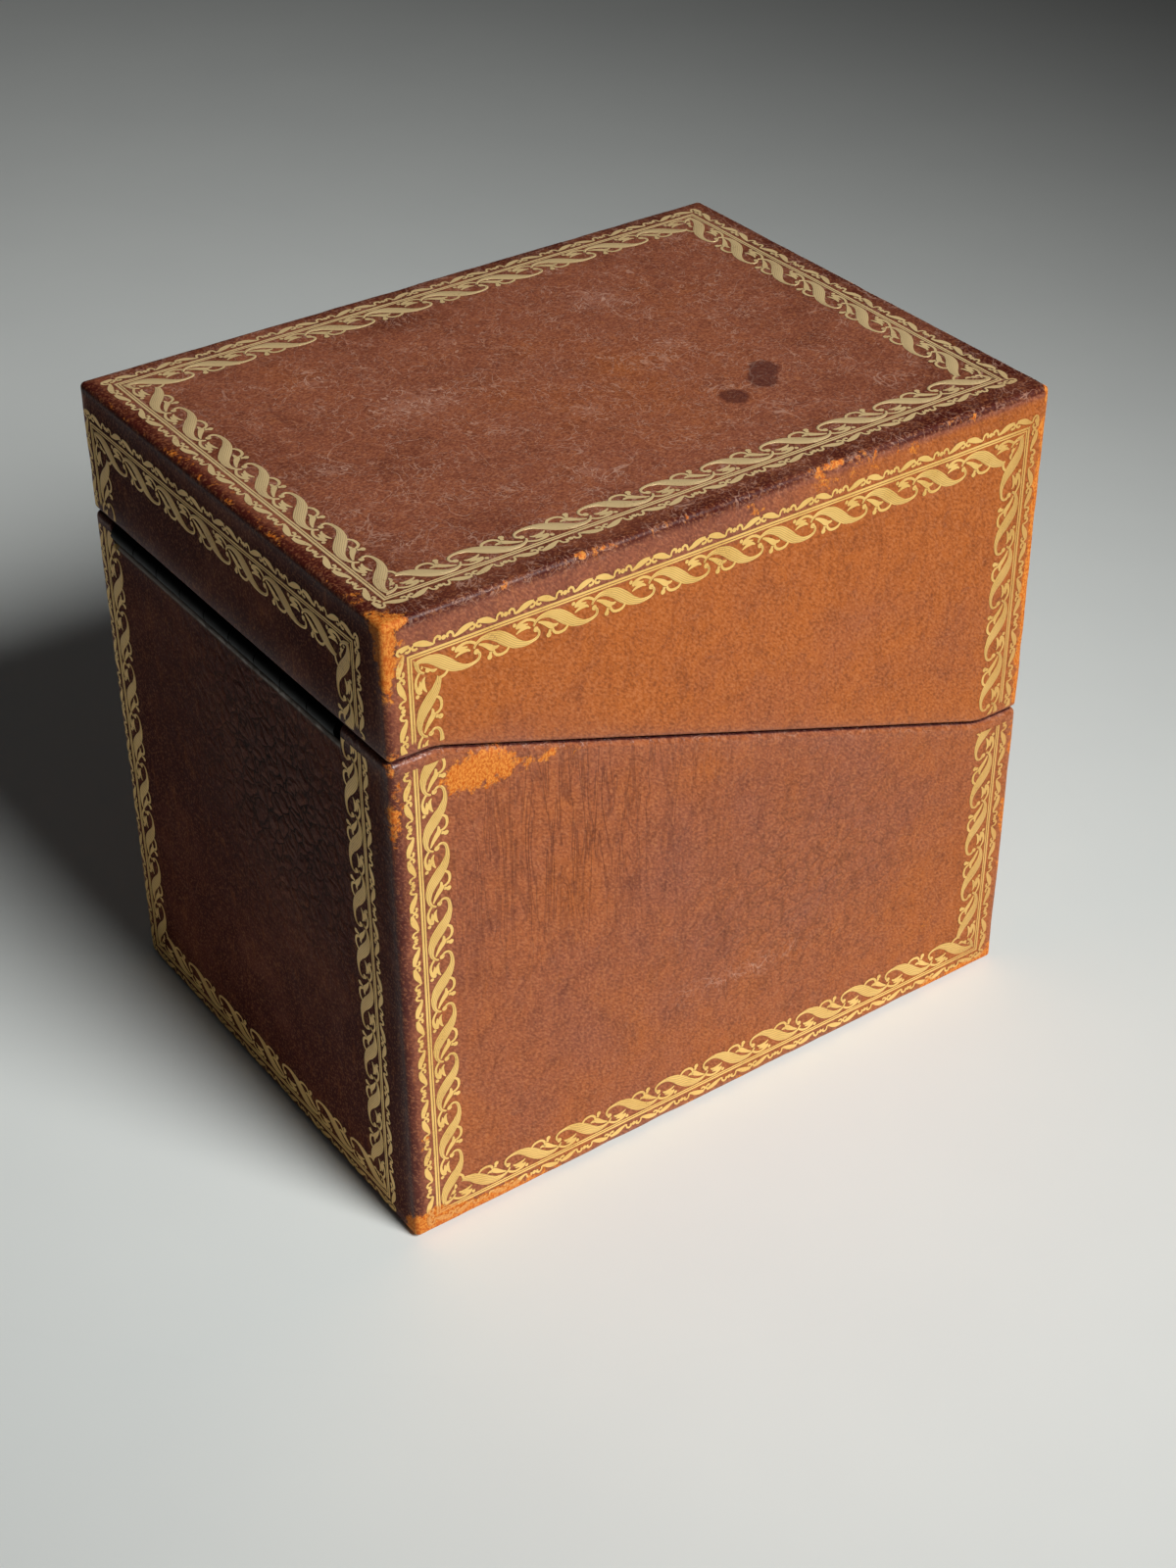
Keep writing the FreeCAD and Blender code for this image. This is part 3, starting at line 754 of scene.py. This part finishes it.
def roll_drawing():
    """One turn of the roll: x runs along the border, y inwards from its outer edge."""
    stamp = Stamp()
    middle = PITCH / 2

    def centred(controls):
        return [(middle + x, BAND + y, width) for x, y, width in controls]

    leaf = [(-7.1, 0.3, 0.7), (-7.7, 0.75, 0.65), (-7.75, 1.6, 0.62), (-7.0, 2.3, 0.7), (-5.4, 2.6, 0.85),
            (-3.9, 2.4, 1.3), (-2.3, 1.75, 2.0), (-0.8, 0.7, 2.55), (0.6, -0.4, 2.65), (2.0, -1.4, 2.35),
            (3.55, -2.0, 1.7), (5.1, -2.2, 1.15), (6.35, -1.9, 0.8), (7.2, -1.3, 0.6), (7.6, -0.6, 0.5)]
    stamp.stroke(centred(leaf), 28, across=4, height=0.1, engraved=True)
    # Scrolls between the leaves, by the double line and then on the inner side, with their number of steps
    scrolls = (
        (9, [(-7.1, -1.5, 0.55), (-6.0, -2.3, 0.6), (-4.8, -2.6, 0.6), (-3.6, -2.4, 0.75), (-2.8, -1.9, 1.0),
             (-2.4, -1.35, 0.5)]),
        (6, [(-5.7, -0.5, 0.25), (-4.95, -0.95, 0.7), (-3.9, -0.95, 0.85), (-2.95, -0.65, 0.55),
             (-2.3, -0.25, 0.25)]),
        (4, [(-5.1, -1.6, 0.3), (-3.9, -1.65, 0.8), (-2.95, -1.7, 1.0)]),
        (7, [(6.5, -1.2, 0.35), (5.4, -0.7, 0.75), (4.35, 0.0, 1.1), (3.4, 0.75, 1.25), (2.8, 1.3, 0.6)]),
        (4, [(3.25, 0.5, 0.6), (2.5, 0.85, 0.75), (1.75, 0.7, 0.3)]),
        (3, [(3.7, 1.4, 0.7), (4.0, 2.3, 0.7)]),
        (9, [(3.1, 1.5, 0.6), (2.6, 2.4, 0.62), (1.55, 2.8, 0.64), (0.3, 2.65, 0.64), (-0.45, 2.0, 0.55),
             (-0.6, 1.5, 0.5)]),
    )
    for count, scroll in scrolls:
        stamp.stroke(centred(scroll), count)
    for x, y, radius in centred([(-7.0, 0.2, 0.62), (-1.95, -2.35, 0.46), (4.05, 2.45, 0.6)]):
        stamp.bead(x, y, radius)
    # The outer row: a small leaf, a curl and a hook, drawn once and turned round for the other half
    outer_row = (
        (8, [(-6.65, 0.4, 0.6), (-5.5, 0.55, 1.15), (-4.25, 0.95, 1.35), (-3.05, 1.5, 0.8),
             (-2.15, 1.75, 0.4)]),
        (7, [(-2.1, 1.75, 0.4), (-2.0, 0.85, 0.5), (-1.35, 0.4, 0.6), (-0.75, 0.85, 0.65),
             (-0.95, 1.4, 0.5)]),
        (5, [(-6.6, 0.6, 0.5), (-6.9, 1.2, 0.55), (-6.3, 1.65, 0.6), (-5.7, 1.4, 0.55)]),
    )
    for turn in (1, -1):
        for count, run in outer_row:
            stamp.stroke([(middle + turn * x, y, width) for x, y, width in run], count)
    stamp.bead(middle, 1.1, 0.55)
    for line, width in LINES:
        stamp.stroke([(0, line, width), (PITCH, line, width)], 5, across=2, height=0.06)
    return stamp


def gold_finish():
    """Gold leaf on leather: warm and dull, cut by the engraver's lines, thin where it has been rubbed."""
    gold = Finish("gold_leaf")
    here = gold.place()
    fine = gold.clouds(here, 0.5, 4, 0.7)
    broad = gold.clouds(here, 9)
    drawn = gold.node("ShaderNodeUVMap", uv_map="lines").outputs["UV"]
    across = gold.node("ShaderNodeSeparateXYZ", {0: drawn}).outputs["Y"]
    engraved = gold.maths("SINE", gold.times(across, 2 * math.pi / CUT_PITCH))
    cutline = gold.between(engraved, -0.3, -0.95)
    thin = gold.between(plus(gold, fine, about(gold, broad, 0.5)), 0.6, 0.75)
    colour = gold.coat(gold.between(broad, 0.3, 0.7), paint(239, 195, 113), paint(225, 179, 96))
    colour = coats(gold, colour, (
        (cutline, 0.55, (150, 104, 50)),
        # A paler coat on the gold on top: a painted sheen
        (mark(gold, "dusty"), 0.5, (232, 210, 172)),
        (mark(gold, "rubbed"), 0.55, (184, 118, 56)),
        (thin, 0.6, (140, 86, 48)),
    ))
    bare, suede = bared(gold, here, mark(gold, "worn"))
    normal = gold.emboss(less(gold, 1.0, cutline), 0.06, 0.7, gold.emboss(fine, 0.03, 0.4))
    return gold.done({"Base Color": gold.coat(gold.times(bare, 0.7), colour, suede), "Metallic": 0.28,
                      "Roughness": plus(gold, gold.times(fine, 0.25), 0.28), "Normal": normal})


def modifier_tree(name, inputs):
    """A tree for a modifier with its named inputs, what comes in, and the ports to set from outside."""
    group = bpy.data.node_groups.new(name, "GeometryNodeTree")
    group.is_modifier = True
    ports = {}
    for key, kind in inputs.items():
        socket = group.interface.new_socket(key, in_out="INPUT", socket_type="NodeSocket" + kind)
        ports[key] = socket.identifier
    group.interface.new_socket("Made", in_out="OUTPUT", socket_type="NodeSocketGeometry")
    tree = Tree(group)
    return tree, tree.node("NodeGroupInput").outputs, ports


def grown(name, seed, tree, ports, values):
    """A plain object made from a seed mesh by a modifier's tree with the given values."""
    start = put(seed.name, seed)
    setter = start.modifiers.new("setter", "NODES")
    setter.node_group = tree.tree
    for port, value in values.items():
        setter[ports[port]] = value
    view = bpy.context.evaluated_depsgraph_get()
    mesh = bpy.data.meshes.new_from_object(start.evaluated_get(view))
    bpy.data.objects.remove(start)
    return put(name, mesh)


def gilder_tree():
    """Sets the roll's drawing at every place and presses it down on the leather under it."""
    tree, given, ports = modifier_tree("gilder", {
        "Places": "Geometry", "Turn": "Object", "Start": "Object", "End": "Object", "Leather": "Object",
        "Lift": "Float", "Probe": "Float", "Gold": "Material"})

    def kept(name, kind):
        made = tree.node("GeometryNodeInputNamedAttribute", {"Name": name}, data_type=kind)
        return made.outputs["Attribute"]

    def shape(name):
        return tree.node("GeometryNodeObjectInfo", {"Object": given[name]}).outputs["Geometry"]

    outward = kept("outward", "FLOAT_VECTOR")
    axes = {"Primary Axis": kept("along", "FLOAT_VECTOR"), "Secondary Axis": outward}
    turn = tree.node("FunctionNodeAxesToRotation", axes, primary_axis="X", secondary_axis="Z").outputs[0]
    scale = {"X": kept("stretch", "FLOAT"), "Y": 1.0, "Z": 1.0}
    stretch = tree.node("ShaderNodeCombineXYZ", scale).outputs[0]
    both = tree.node("GeometryNodeJoinGeometry")
    for number, name in enumerate(STAMPS):
        chosen = tree.node("FunctionNodeCompare", {2: kept("stamp", "INT"), 3: number}, data_type="INT",
                           operation="EQUAL").outputs[0]
        set_out = tree.node("GeometryNodeInstanceOnPoints", {
            "Points": given["Places"], "Selection": chosen, "Instance": shape(name), "Rotation": turn,
            "Scale": stretch}).outputs[0]
        tree.plug(set_out, both.inputs[0])
    real = tree.node("GeometryNodeRealizeInstances", {"Geometry": both.outputs[0]}).outputs[0]
    here = tree.node("GeometryNodeInputPosition").outputs[0]
    ray = tree.node("GeometryNodeRaycast", {
        "Target Geometry": shape("Leather"), "Ray Direction": vector(tree, "SCALE", outward, -1.0),
        "Source Position": vector(tree, "ADD", here, vector(tree, "SCALE", outward, given["Probe"])),
        "Ray Length": tree.times(given["Probe"], 3.0)}).outputs
    rise = vector(tree, "SCALE", outward, plus(tree, given["Lift"], kept("relief", "FLOAT")))
    missed = tree.node("FunctionNodeBooleanMath", {0: ray["Is Hit"]}, operation="NOT").outputs[0]
    pressed = tree.node("GeometryNodeSetPosition", {
        "Geometry": real, "Selection": ray["Is Hit"],
        "Position": vector(tree, "ADD", ray["Hit Position"], rise)}).outputs[0]
    trimmed = tree.node("GeometryNodeDeleteGeometry", {"Geometry": pressed, "Selection": missed}).outputs[0]
    gilded = tree.node("GeometryNodeSetMaterial", {"Geometry": trimmed, "Material": given["Gold"]})
    tree.node("NodeGroupOutput", {0: gilded.outputs[0]})
    return tree, ports


gold_leaf = gold_finish()
gilder, gilder_ports = gilder_tree()
drawing = roll_drawing()
turn_stamp = drawing.cut("roll_turn")
start_stamp = drawing.cut("roll_start", (FIRST_TURN - PITCH, FIRST_TURN), (0.0, 1))
end_stamp = drawing.cut("roll_end", (0.0, PITCH), (PITCH + LAST_TURN, -1))
X, Y, Z = np.eye(3)
# Each face's frame: how far out, then outward, rightwards and upwards as seen from outside, then its edges
# at the left, right, bottom and top
PANELS = {
    "top": (TOP, Z, X, Y, -55.8, 57.5, -78.5, 79.5),
    "left": (OUT_X, -X, -Y, Z, -79.8, 80.0, 2.0, 148.3),
    "right": (OUT_X, X, Y, Z, -80.0, 79.8, 2.0, 148.3),
    "back": (OUT_Y, Y, -X, Z, -59.8, 53.0, 1.2, 148.5),
    "front": (OUT_Y, -Y, X, Z, -58.3, 58.3, 2.0, 148.3),
}


def frame_places(panel):
    """Where the roll starts each turn along the edges of a face's frame, and which stamp it sets."""
    depth, outward, right, up, left_edge, right_edge, low_edge, high_edge = PANELS[panel]
    corners = np.array([(left_edge, low_edge), (right_edge, low_edge), (right_edge, high_edge),
                        (left_edge, high_edge)])
    spots = []
    for begin, end in zip(corners, np.roll(corners, -1, axis=0)):
        length = np.linalg.norm(end - begin)
        course = (end - begin) / length
        along = course[0] * right + course[1] * up
        first, last = FIRST_TURN + PITCH, length - LAST_TURN - PITCH
        count = round((last - first) / PITCH)
        pitch = (last - first) / count
        origin = begin[0] * right + begin[1] * up + depth * outward
        spots.append((origin, along, outward, 1.0, STAMPS.index("Start")))
        spots.append((origin + along * last, along, outward, 1.0, STAMPS.index("End")))
        for step in range(count):
            spot = origin + along * (first + pitch * step)
            spots.append((spot, along, outward, pitch / PITCH, STAMPS.index("Turn")))
    return spots


def gild(name, leather, panels):
    """Gilds the frames of some faces on one piece of leather, as one piece of gold."""
    spots = [spot for panel in panels for spot in frame_places(panel)]
    origins, alongs, outwards, stretches, stamps = zip(*spots)
    mesh = bpy.data.meshes.new(name + "_places")
    mesh.from_pydata([tuple(origin * MM) for origin in origins], [], [])
    store(mesh, "along", alongs, "FLOAT_VECTOR")
    store(mesh, "outward", outwards, "FLOAT_VECTOR")
    store(mesh, "stretch", stretches)
    store(mesh, "stamp", stamps, "INT")
    return grown(name, mesh, gilder, gilder_ports, {
        "Turn": turn_stamp, "Start": start_stamp, "End": end_stamp, "Leather": leather,
        "Lift": GOLD_LIFT * MM, "Probe": PROBE * MM, "Gold": gold_leaf})


def trim_at_rim(gilding, keep_low, gap):
    """Cuts gilding off a gap away from the base's rim, near the back and near the front of the box."""
    for near_back, level in ((True, RIM_BACK + gap), (False, RIM_FRONT + gap)):
        sliced(gilding.data, (0, 0, level * MM), (0, 0, 1),
               lambda face, near_back=near_back: (face.calc_center_median().y > 0) == near_back,
               clear_outer=keep_low, clear_inner=not keep_low)


walls = ("left", "right", "back", "front")
base_gold = gild("base_gilding", base_leather, walls)
trim_at_rim(base_gold, True, -BARE_BELOW)
lid_gold = gild("lid_gilding", lid_leather, walls)
trim_at_rim(lid_gold, False, LID_GAP + BARE_ABOVE)
top_gold = gild("lid_top_gilding", lid_top, ["top"])
for gilding, body in ((base_gold, "base"), (lid_gold, "lid"), (top_gold, "lid")):
    gilding.data.shade_smooth()
    gilded = np.array([corner.co for corner in gilding.data.vertices]) / MM
    store(gilding.data, "worn", leather_marks(gilded)["worn"])
    # Gold on top is marked for a painted sheen
    store(gilding.data, "dusty", (gilded[:, 2] > TOP - 1).astype(float))
    store(gilding.data, "rubbed", patch(gilded, (-OUT_X, -OUT_Y, TOP / 2), (8, 11, TOP)))
    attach(gilding, body)

# Linings: thin watered silk pasted on the boards inside base and lid, one sheet to a wall with its edges
# tucked under the leather's turn-in, and one each on floor and ceiling.
SILK_PALE, SILK_DEEP = (188, 164, 146), (176, 152, 134)
LINING_CELL = 2.5
SILK_THICKNESS = 0.15


def silk_finish(name, stretch, ribbed):
    """Watered silk: fine ribs, and a wavy watermark, drawn out one way, where they were pressed flat."""
    silk = Finish(name)
    here = silk.place()

    def waves(where, scale, distortion, detail, detail_scale, direction):
        sockets = {"Vector": where, "Scale": scale, "Distortion": distortion, "Detail": detail,
                   "Detail Scale": detail_scale}
        return silk.node("ShaderNodeTexWave", sockets, bands_direction=direction).outputs["Fac"]

    ribs = waves(astray(silk, here, 30, 3.0), 0.62, 1.2, 1.0, 0.4, ribbed)
    water = silk.between(waves(silk.place(stretch), 0.07, 22.0, 3.0, 0.9, "DIAGONAL"), 0.35, 0.75)
    soiled = silk.between(silk.clouds(here, 18, 4), 0.5, 0.8)
    colour = silk.coat(water, paint(*SILK_DEEP), paint(*SILK_PALE))
    colour = coats(silk, colour, ((ribs, 0.2, (126, 100, 86)), (soiled, 0.35, (142, 114, 94))))
    return silk.done({"Base Color": colour, "Roughness": less(silk, 0.62, silk.times(water, 0.22)),
                      "Sheen Weight": 0.25, "Normal": silk.emboss(ribs, 0.05, 0.6)})


def lining_sheet(label, body, inward, low_edge, high_edge):
    """One sheet of lining in a solid's place, its edges tucked back; the edges are heights at a depth."""
    low, high = in_mm(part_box(label))
    flat = int(np.argmax(np.abs(inward)))
    run, rise = [axis for axis in range(3) if axis != flat]
    face = (high if sum(inward) > 0 else low)[flat]
    count = round((high[run] - low[run]) / LINING_CELL), round((high[rise] - low[rise]) / LINING_CELL)
    points = []
    for up in np.linspace(0, 1, count[1] + 1):
        for along in np.linspace(low[run], high[run], count[0] + 1):
            point = np.zeros(3)
            point[run] = along
            ends = (low_edge(along), high_edge(along)) if rise == 2 else (low[rise], high[rise])
            point[rise] = ends[0] + (ends[1] - ends[0]) * up
            point[flat] = face
            gap = min(along - low[run], high[run] - along, point[rise] - ends[0], ends[1] - point[rise])
            tuck = 0.21 * math.exp(-max(gap, 0) / 1.2)
            ripple = 0.06 * noise.noise(Vector(point / 16)) * min(gap / 6, 1)
            point[flat] += (ripple - 0.06 - tuck) * sum(inward)
            points.append(point)
    width = count[0] + 1
    faces = grid_faces(0, width, count[1] + 1)
    if np.dot(np.cross(points[1] - points[0], points[width] - points[0]), inward) < 0:
        faces = [face[::-1] for face in faces]
    silk = upright_silk if rise == 2 else level_silk
    made = new_piece(label + "_silk", points, faces, silk, body)
    thicken(made, SILK_THICKNESS)
    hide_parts(label)


upright_silk = silk_finish("upright_silk", (0.25, 0.25, 1), "Z")
level_silk = silk_finish("level_silk", (1, 0.25, 1), "X")
floor_face, ceiling_face = wall_low[2], TOP - WALL
INWARD = {"front": Y, "back": -Y, "left": X, "right": -X}
for side, inward in INWARD.items():
    level = {"front": lambda along: RIM_FRONT, "back": lambda along: RIM_BACK}.get(side, parting)
    lining_sheet(f"base_{side}_lining", "base", inward, lambda along: floor_face,
                 lambda along, level=level: float(level(along)) - TURN_IN)
    lining_sheet(f"lid_{side}_lining", "lid", inward,
                 lambda along, level=level: float(level(along)) + LID_GAP + TURN_IN,
                 lambda along: ceiling_face)
lining_sheet("base_floor_lining", "base", Z, None, None)
lining_sheet("lid_ceiling_lining", "lid", -Z, None, None)

# Underside: a sheet of brown baize glued under the floor board, a little smaller than the box,
# which hides the turned-in leather and keeps the box from scratching a table.
BAIZE_DARK, BAIZE_PALE, BAIZE_MATTED = (62, 44, 34), (98, 74, 58), (46, 32, 26)


def baize_finish():
    """Thick felted wool, matted and slightly pilled."""
    baize = Finish("brown_baize")
    here = baize.place()
    fibres = baize.clouds(here, 0.5, 6, 0.75, 1.0)
    matted = baize.between(baize.clouds(here, 7), 0.45, 0.7)
    colour = baize.coat(baize.between(fibres, 0.35, 0.7), paint(*BAIZE_DARK), paint(*BAIZE_PALE))
    colour = coats(baize, colour, ((matted, 0.4, BAIZE_MATTED),))
    return baize.done({"Base Color": colour, "Roughness": 0.95, "Sheen Weight": 0.4,
                       "Normal": baize.emboss(fibres, 0.2, 0.8)})


def underside_sheet():
    """The baize as a thin cushion: flat on the table, with its rim rounded up to the floor board."""
    low, high = in_mm(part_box("base_underside"))
    thick = high[2] - low[2]
    rings = [(0.0, high[2]), (0.0, low[2] + 0.35 * thick), (0.1, low[2] + 0.12 * thick), (0.35, low[2])]
    outline = [(high[0], low[1]), (high[0], high[1]), (low[0], high[1]), (low[0], low[1])]
    points = [(x - math.copysign(inset, x), y - math.copysign(inset, y), height)
              for inset, height in rings for x, y in outline]
    last = 4 * (len(rings) - 1)
    faces = []
    for start in range(0, last, 4):
        for corner in range(4):
            beside = (corner + 1) % 4
            faces.append((start + beside, start + corner, start + 4 + corner, start + 4 + beside))
    faces += [(0, 1, 2, 3), (last + 3, last + 2, last + 1, last)]
    return points, faces


points, faces = underside_sheet()
baize = new_piece("underside_baize", points, faces, baize_finish(), "base")
baize.data.shade_flat()
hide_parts("base_underside")

# Hinge: a continuous steel hinge, blackened, its two leaves sunk between lid and base and turning on one
# pin. The leaves and pin are the solids themselves, in one tarnished steel finish.


def steel_finish(name, dark, bright, shine):
    """Old steel: drawn lengthwise, its tarnish darker and brighter in patches."""
    steel = Finish(name)
    drawn = steel.clouds(steel.place((0.05, 1, 1)), 0.35, 4, 0.7)
    tarnish = steel.clouds(steel.place(), 5, 5, 0.65, 0.5)
    colour = steel.coat(steel.between(tarnish, 0.4, 0.7), paint(*dark), paint(*bright))
    return steel.done({"Base Color": colour, "Metallic": 1.0, "Normal": steel.emboss(drawn, 0.02, 0.5),
                       "Roughness": plus(steel, steel.times(tarnish, 0.3), shine)})


black_steel = steel_finish("blackened_steel", (7, 7, 7), (20, 19, 18), 0.4)
for label in ("base_hinge_leaf", "lid_hinge_leaf", "hinge_pin"):
    refinish(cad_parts[label], black_steel)

# Hinge screws: five small countersunk steel screws with slotted heads through each leaf into the board,
# with their slots left as each screw happened to stop.
SCREWS = 5
HEAD, SHANK, SLOT, SLOT_DEPTH, SCREW_LENGTH = 1.03, 0.6, 0.34, 0.3, 5.0
# Each row of screws: its solid, its body, how far it is turned over, and its seed
SCREW_SETS = (("base_hinge_screws", "base", 0.0, 4), ("lid_hinge_screws", "lid", math.pi, 9))


def slotted_screw():
    """A countersunk screw, its head's face at height 0 and its shank below."""
    half = math.asin(SLOT / 2 / HEAD)
    turns = np.linspace(half, math.pi - half, 7)
    upper = [(HEAD * math.cos(t), HEAD * math.sin(t), 0.0) for t in turns]
    lower = [(-x, -y, z) for x, y, z in upper]
    rimmed = upper + lower
    floor = [(x, y, -SLOT_DEPTH) for x, y, z in (upper[0], upper[-1], lower[0], lower[-1])]
    cone = [(x * SHANK / HEAD, y * SHANK / HEAD, SHANK - HEAD - 0.05) for x, y, z in rimmed]
    tip = [(x, y, -SCREW_LENGTH) for x, y, z in cone]
    # 14 points round the head, 4 on the slot's floor, 14 where the cone meets the shank, 14 at the tip
    points = rimmed + floor + cone + tip
    a, b, c, d = 14, 15, 16, 17
    faces = [tuple(range(7)), tuple(range(7, 14)), (a, b, 6, 0), (c, d, 13, 7), (a, d, c, b)]
    for ring_start, next_start in ((0, 18), (18, 32)):
        for i in range(14):
            j = (i + 1) % 14
            if ring_start == 0 and i in (6, 13):
                deep = (b, c) if i == 6 else (d, a)
                faces.append((i, deep[0], deep[1], j, next_start + j, next_start + i)[::-1])
                continue
            faces.append((ring_start + j, ring_start + i, next_start + i, next_start + j))
    faces.append(tuple(range(45, 31, -1)))
    mesh = bpy.data.meshes.new("slotted_screw")
    mesh.from_pydata([(x * MM, y * MM, z * MM) for x, y, z in points], [], faces)
    work = bmesh.new()
    work.from_mesh(mesh)
    bmesh.ops.recalc_face_normals(work, faces=work.faces)
    work.to_mesh(mesh)
    work.free()
    return bpy.data.objects.new("slotted_screw", mesh)


def screw_tree():
    """A row of screws between two ends, each turned at random about its own axis."""
    tree, given, ports = modifier_tree("screw_row", {
        "Row": "Geometry", "Screw": "Object", "Count": "Int", "Tilt": "Float", "Seed": "Int",
        "Steel": "Material"})
    line = tree.node("GeometryNodeMeshToCurve", {0: given["Row"]}).outputs[0]
    spots = tree.node("GeometryNodeResampleCurve", {"Curve": line, "Count": given["Count"]}).outputs[0]
    spin = tree.node("FunctionNodeRandomValue", {"Seed": given["Seed"], 3: math.pi}, data_type="FLOAT")
    turn = tree.node("ShaderNodeCombineXYZ", {"X": given["Tilt"], "Z": spin.outputs[1]}).outputs[0]
    screw = tree.node("GeometryNodeObjectInfo", {"Object": given["Screw"]}).outputs["Geometry"]
    placed = tree.node("GeometryNodeInstanceOnPoints", {
        "Points": spots, "Instance": screw, "Rotation": turn}).outputs[0]
    real = tree.node("GeometryNodeRealizeInstances", {"Geometry": placed}).outputs[0]
    steel = tree.node("GeometryNodeSetMaterial", {"Geometry": real, "Material": given["Steel"]}).outputs[0]
    tree.node("NodeGroupOutput", {0: steel})
    return tree, ports


bright_steel = steel_finish("screw_steel", (96, 92, 86), (150, 146, 138), 0.26)
screw = slotted_screw()
screws, screw_ports = screw_tree()
for label, body, tilt, seed in SCREW_SETS:
    low, high = in_mm(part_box(label))
    level = high[2] if tilt == 0 else low[2]
    reach = (high[0] - low[0]) / 2 - (high[1] - low[1]) / 2
    middle = (low + high) / 2
    ends = [(middle[0] + sign * reach, middle[1], level) for sign in (-1, 1)]
    mesh = bpy.data.meshes.new(label + "_row")
    mesh.from_pydata([tuple(np.array(end) * MM) for end in ends], [(0, 1)], [])
    made = grown(label + "_slotted", mesh, screws, screw_ports, {
        "Screw": screw, "Count": SCREWS, "Tilt": tilt, "Seed": seed, "Steel": bright_steel})
    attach(made, body)
    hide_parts(label)

# Studio: a pale floor, one broad soft light from the box's left side, a weak fill all round, and a camera
# where the photographer stood.
FLOOR_SIZE, FLOOR_DROP = 8.0, 0.0002
LIT_HEIGHT = 0.07
WORLD_GREY, WORLD_STRENGTH = 0.85, 0.025


def floor_finish():
    """Matt white table top, with the faintest unevenness."""
    table = Finish("white_table")
    colour = table.coat(table.clouds(table.place(), 60), paint(232, 233, 229), paint(226, 227, 224))
    return table.done({"Base Color": colour, "Roughness": 0.55})


mesh = bpy.data.meshes.new("floor")
half = FLOOR_SIZE / 2
corners = ((-half, -half), (half, -half), (half, half), (-half, half))
mesh.from_pydata([(x, y, -FLOOR_DROP) for x, y in corners], [], [(0, 1, 2, 3)])
mesh.materials.append(floor_finish())
floor = put("floor", mesh)


def aim(thing, spot, target):
    """Puts a light or camera at a spot, looking at a target."""
    back = (Vector(spot) - Vector(target)).normalized()
    aside = Vector((0, 0, 1)).cross(back).normalized()
    turned = Matrix((aside, back.cross(aside), back)).transposed().to_4x4()
    thing.matrix_world = Matrix.Translation(spot) @ turned


def soft_light(name, azimuth, height, distance, size, power, colour, spread):
    """A square area light aimed at the box, its compass angle, height angle and spread in degrees."""
    lamp = bpy.data.lights.new(name, "AREA")
    lamp.size = size
    lamp.energy = power
    lamp.color = colour
    lamp.spread = math.radians(spread)
    turn, lift = math.radians(azimuth), math.radians(height)
    away = Vector((math.cos(turn) * math.cos(lift), math.sin(turn) * math.cos(lift), math.sin(lift)))
    target = Vector((0, 0, LIT_HEIGHT))
    aim(put(name, lamp), target + away * distance, target)


soft_light("window", 190, 40, 1.3, 0.5, 1.9, (0.97, 1.0, 1.0), 45)
soft_light("bounce", 60, 72, 1.6, 1.2, 0.2, (1.0, 0.98, 0.96), 180)
world = bpy.data.worlds.new("studio")
world.use_nodes = True
background = world.node_tree.nodes["Background"].inputs
background["Color"].default_value = (WORLD_GREY, WORLD_GREY, WORLD_GREY, 1)
background["Strength"].default_value = WORLD_STRENGTH
bpy.context.scene.world = world
bpy.context.scene.view_settings.view_transform = "Standard"

# The photograph's camera: where it stood and how it was turned, in metres and degrees
EYE = (-0.41019, 0.28212, 0.40215)
AZIMUTH, ELEVATION, ROLL = 234.932, 35.237, -0.396
FOCAL_PIXELS, FRAME_HEIGHT = 2663.5, 1600
camera = put("camera", bpy.data.cameras.new("camera"))
camera.data.sensor_fit = "VERTICAL"
camera.data.sensor_height = 36.0
camera.data.lens = FOCAL_PIXELS / FRAME_HEIGHT * camera.data.sensor_height
turn, lift = math.radians(AZIMUTH), math.radians(ELEVATION)
back = Vector((math.sin(turn) * math.cos(lift), -math.cos(turn) * math.cos(lift), math.sin(lift)))
aim(camera, EYE, Vector(EYE) - back)
camera.matrix_world = camera.matrix_world @ Matrix.Rotation(math.radians(ROLL), 4, "Z")
bpy.context.scene.camera = camera
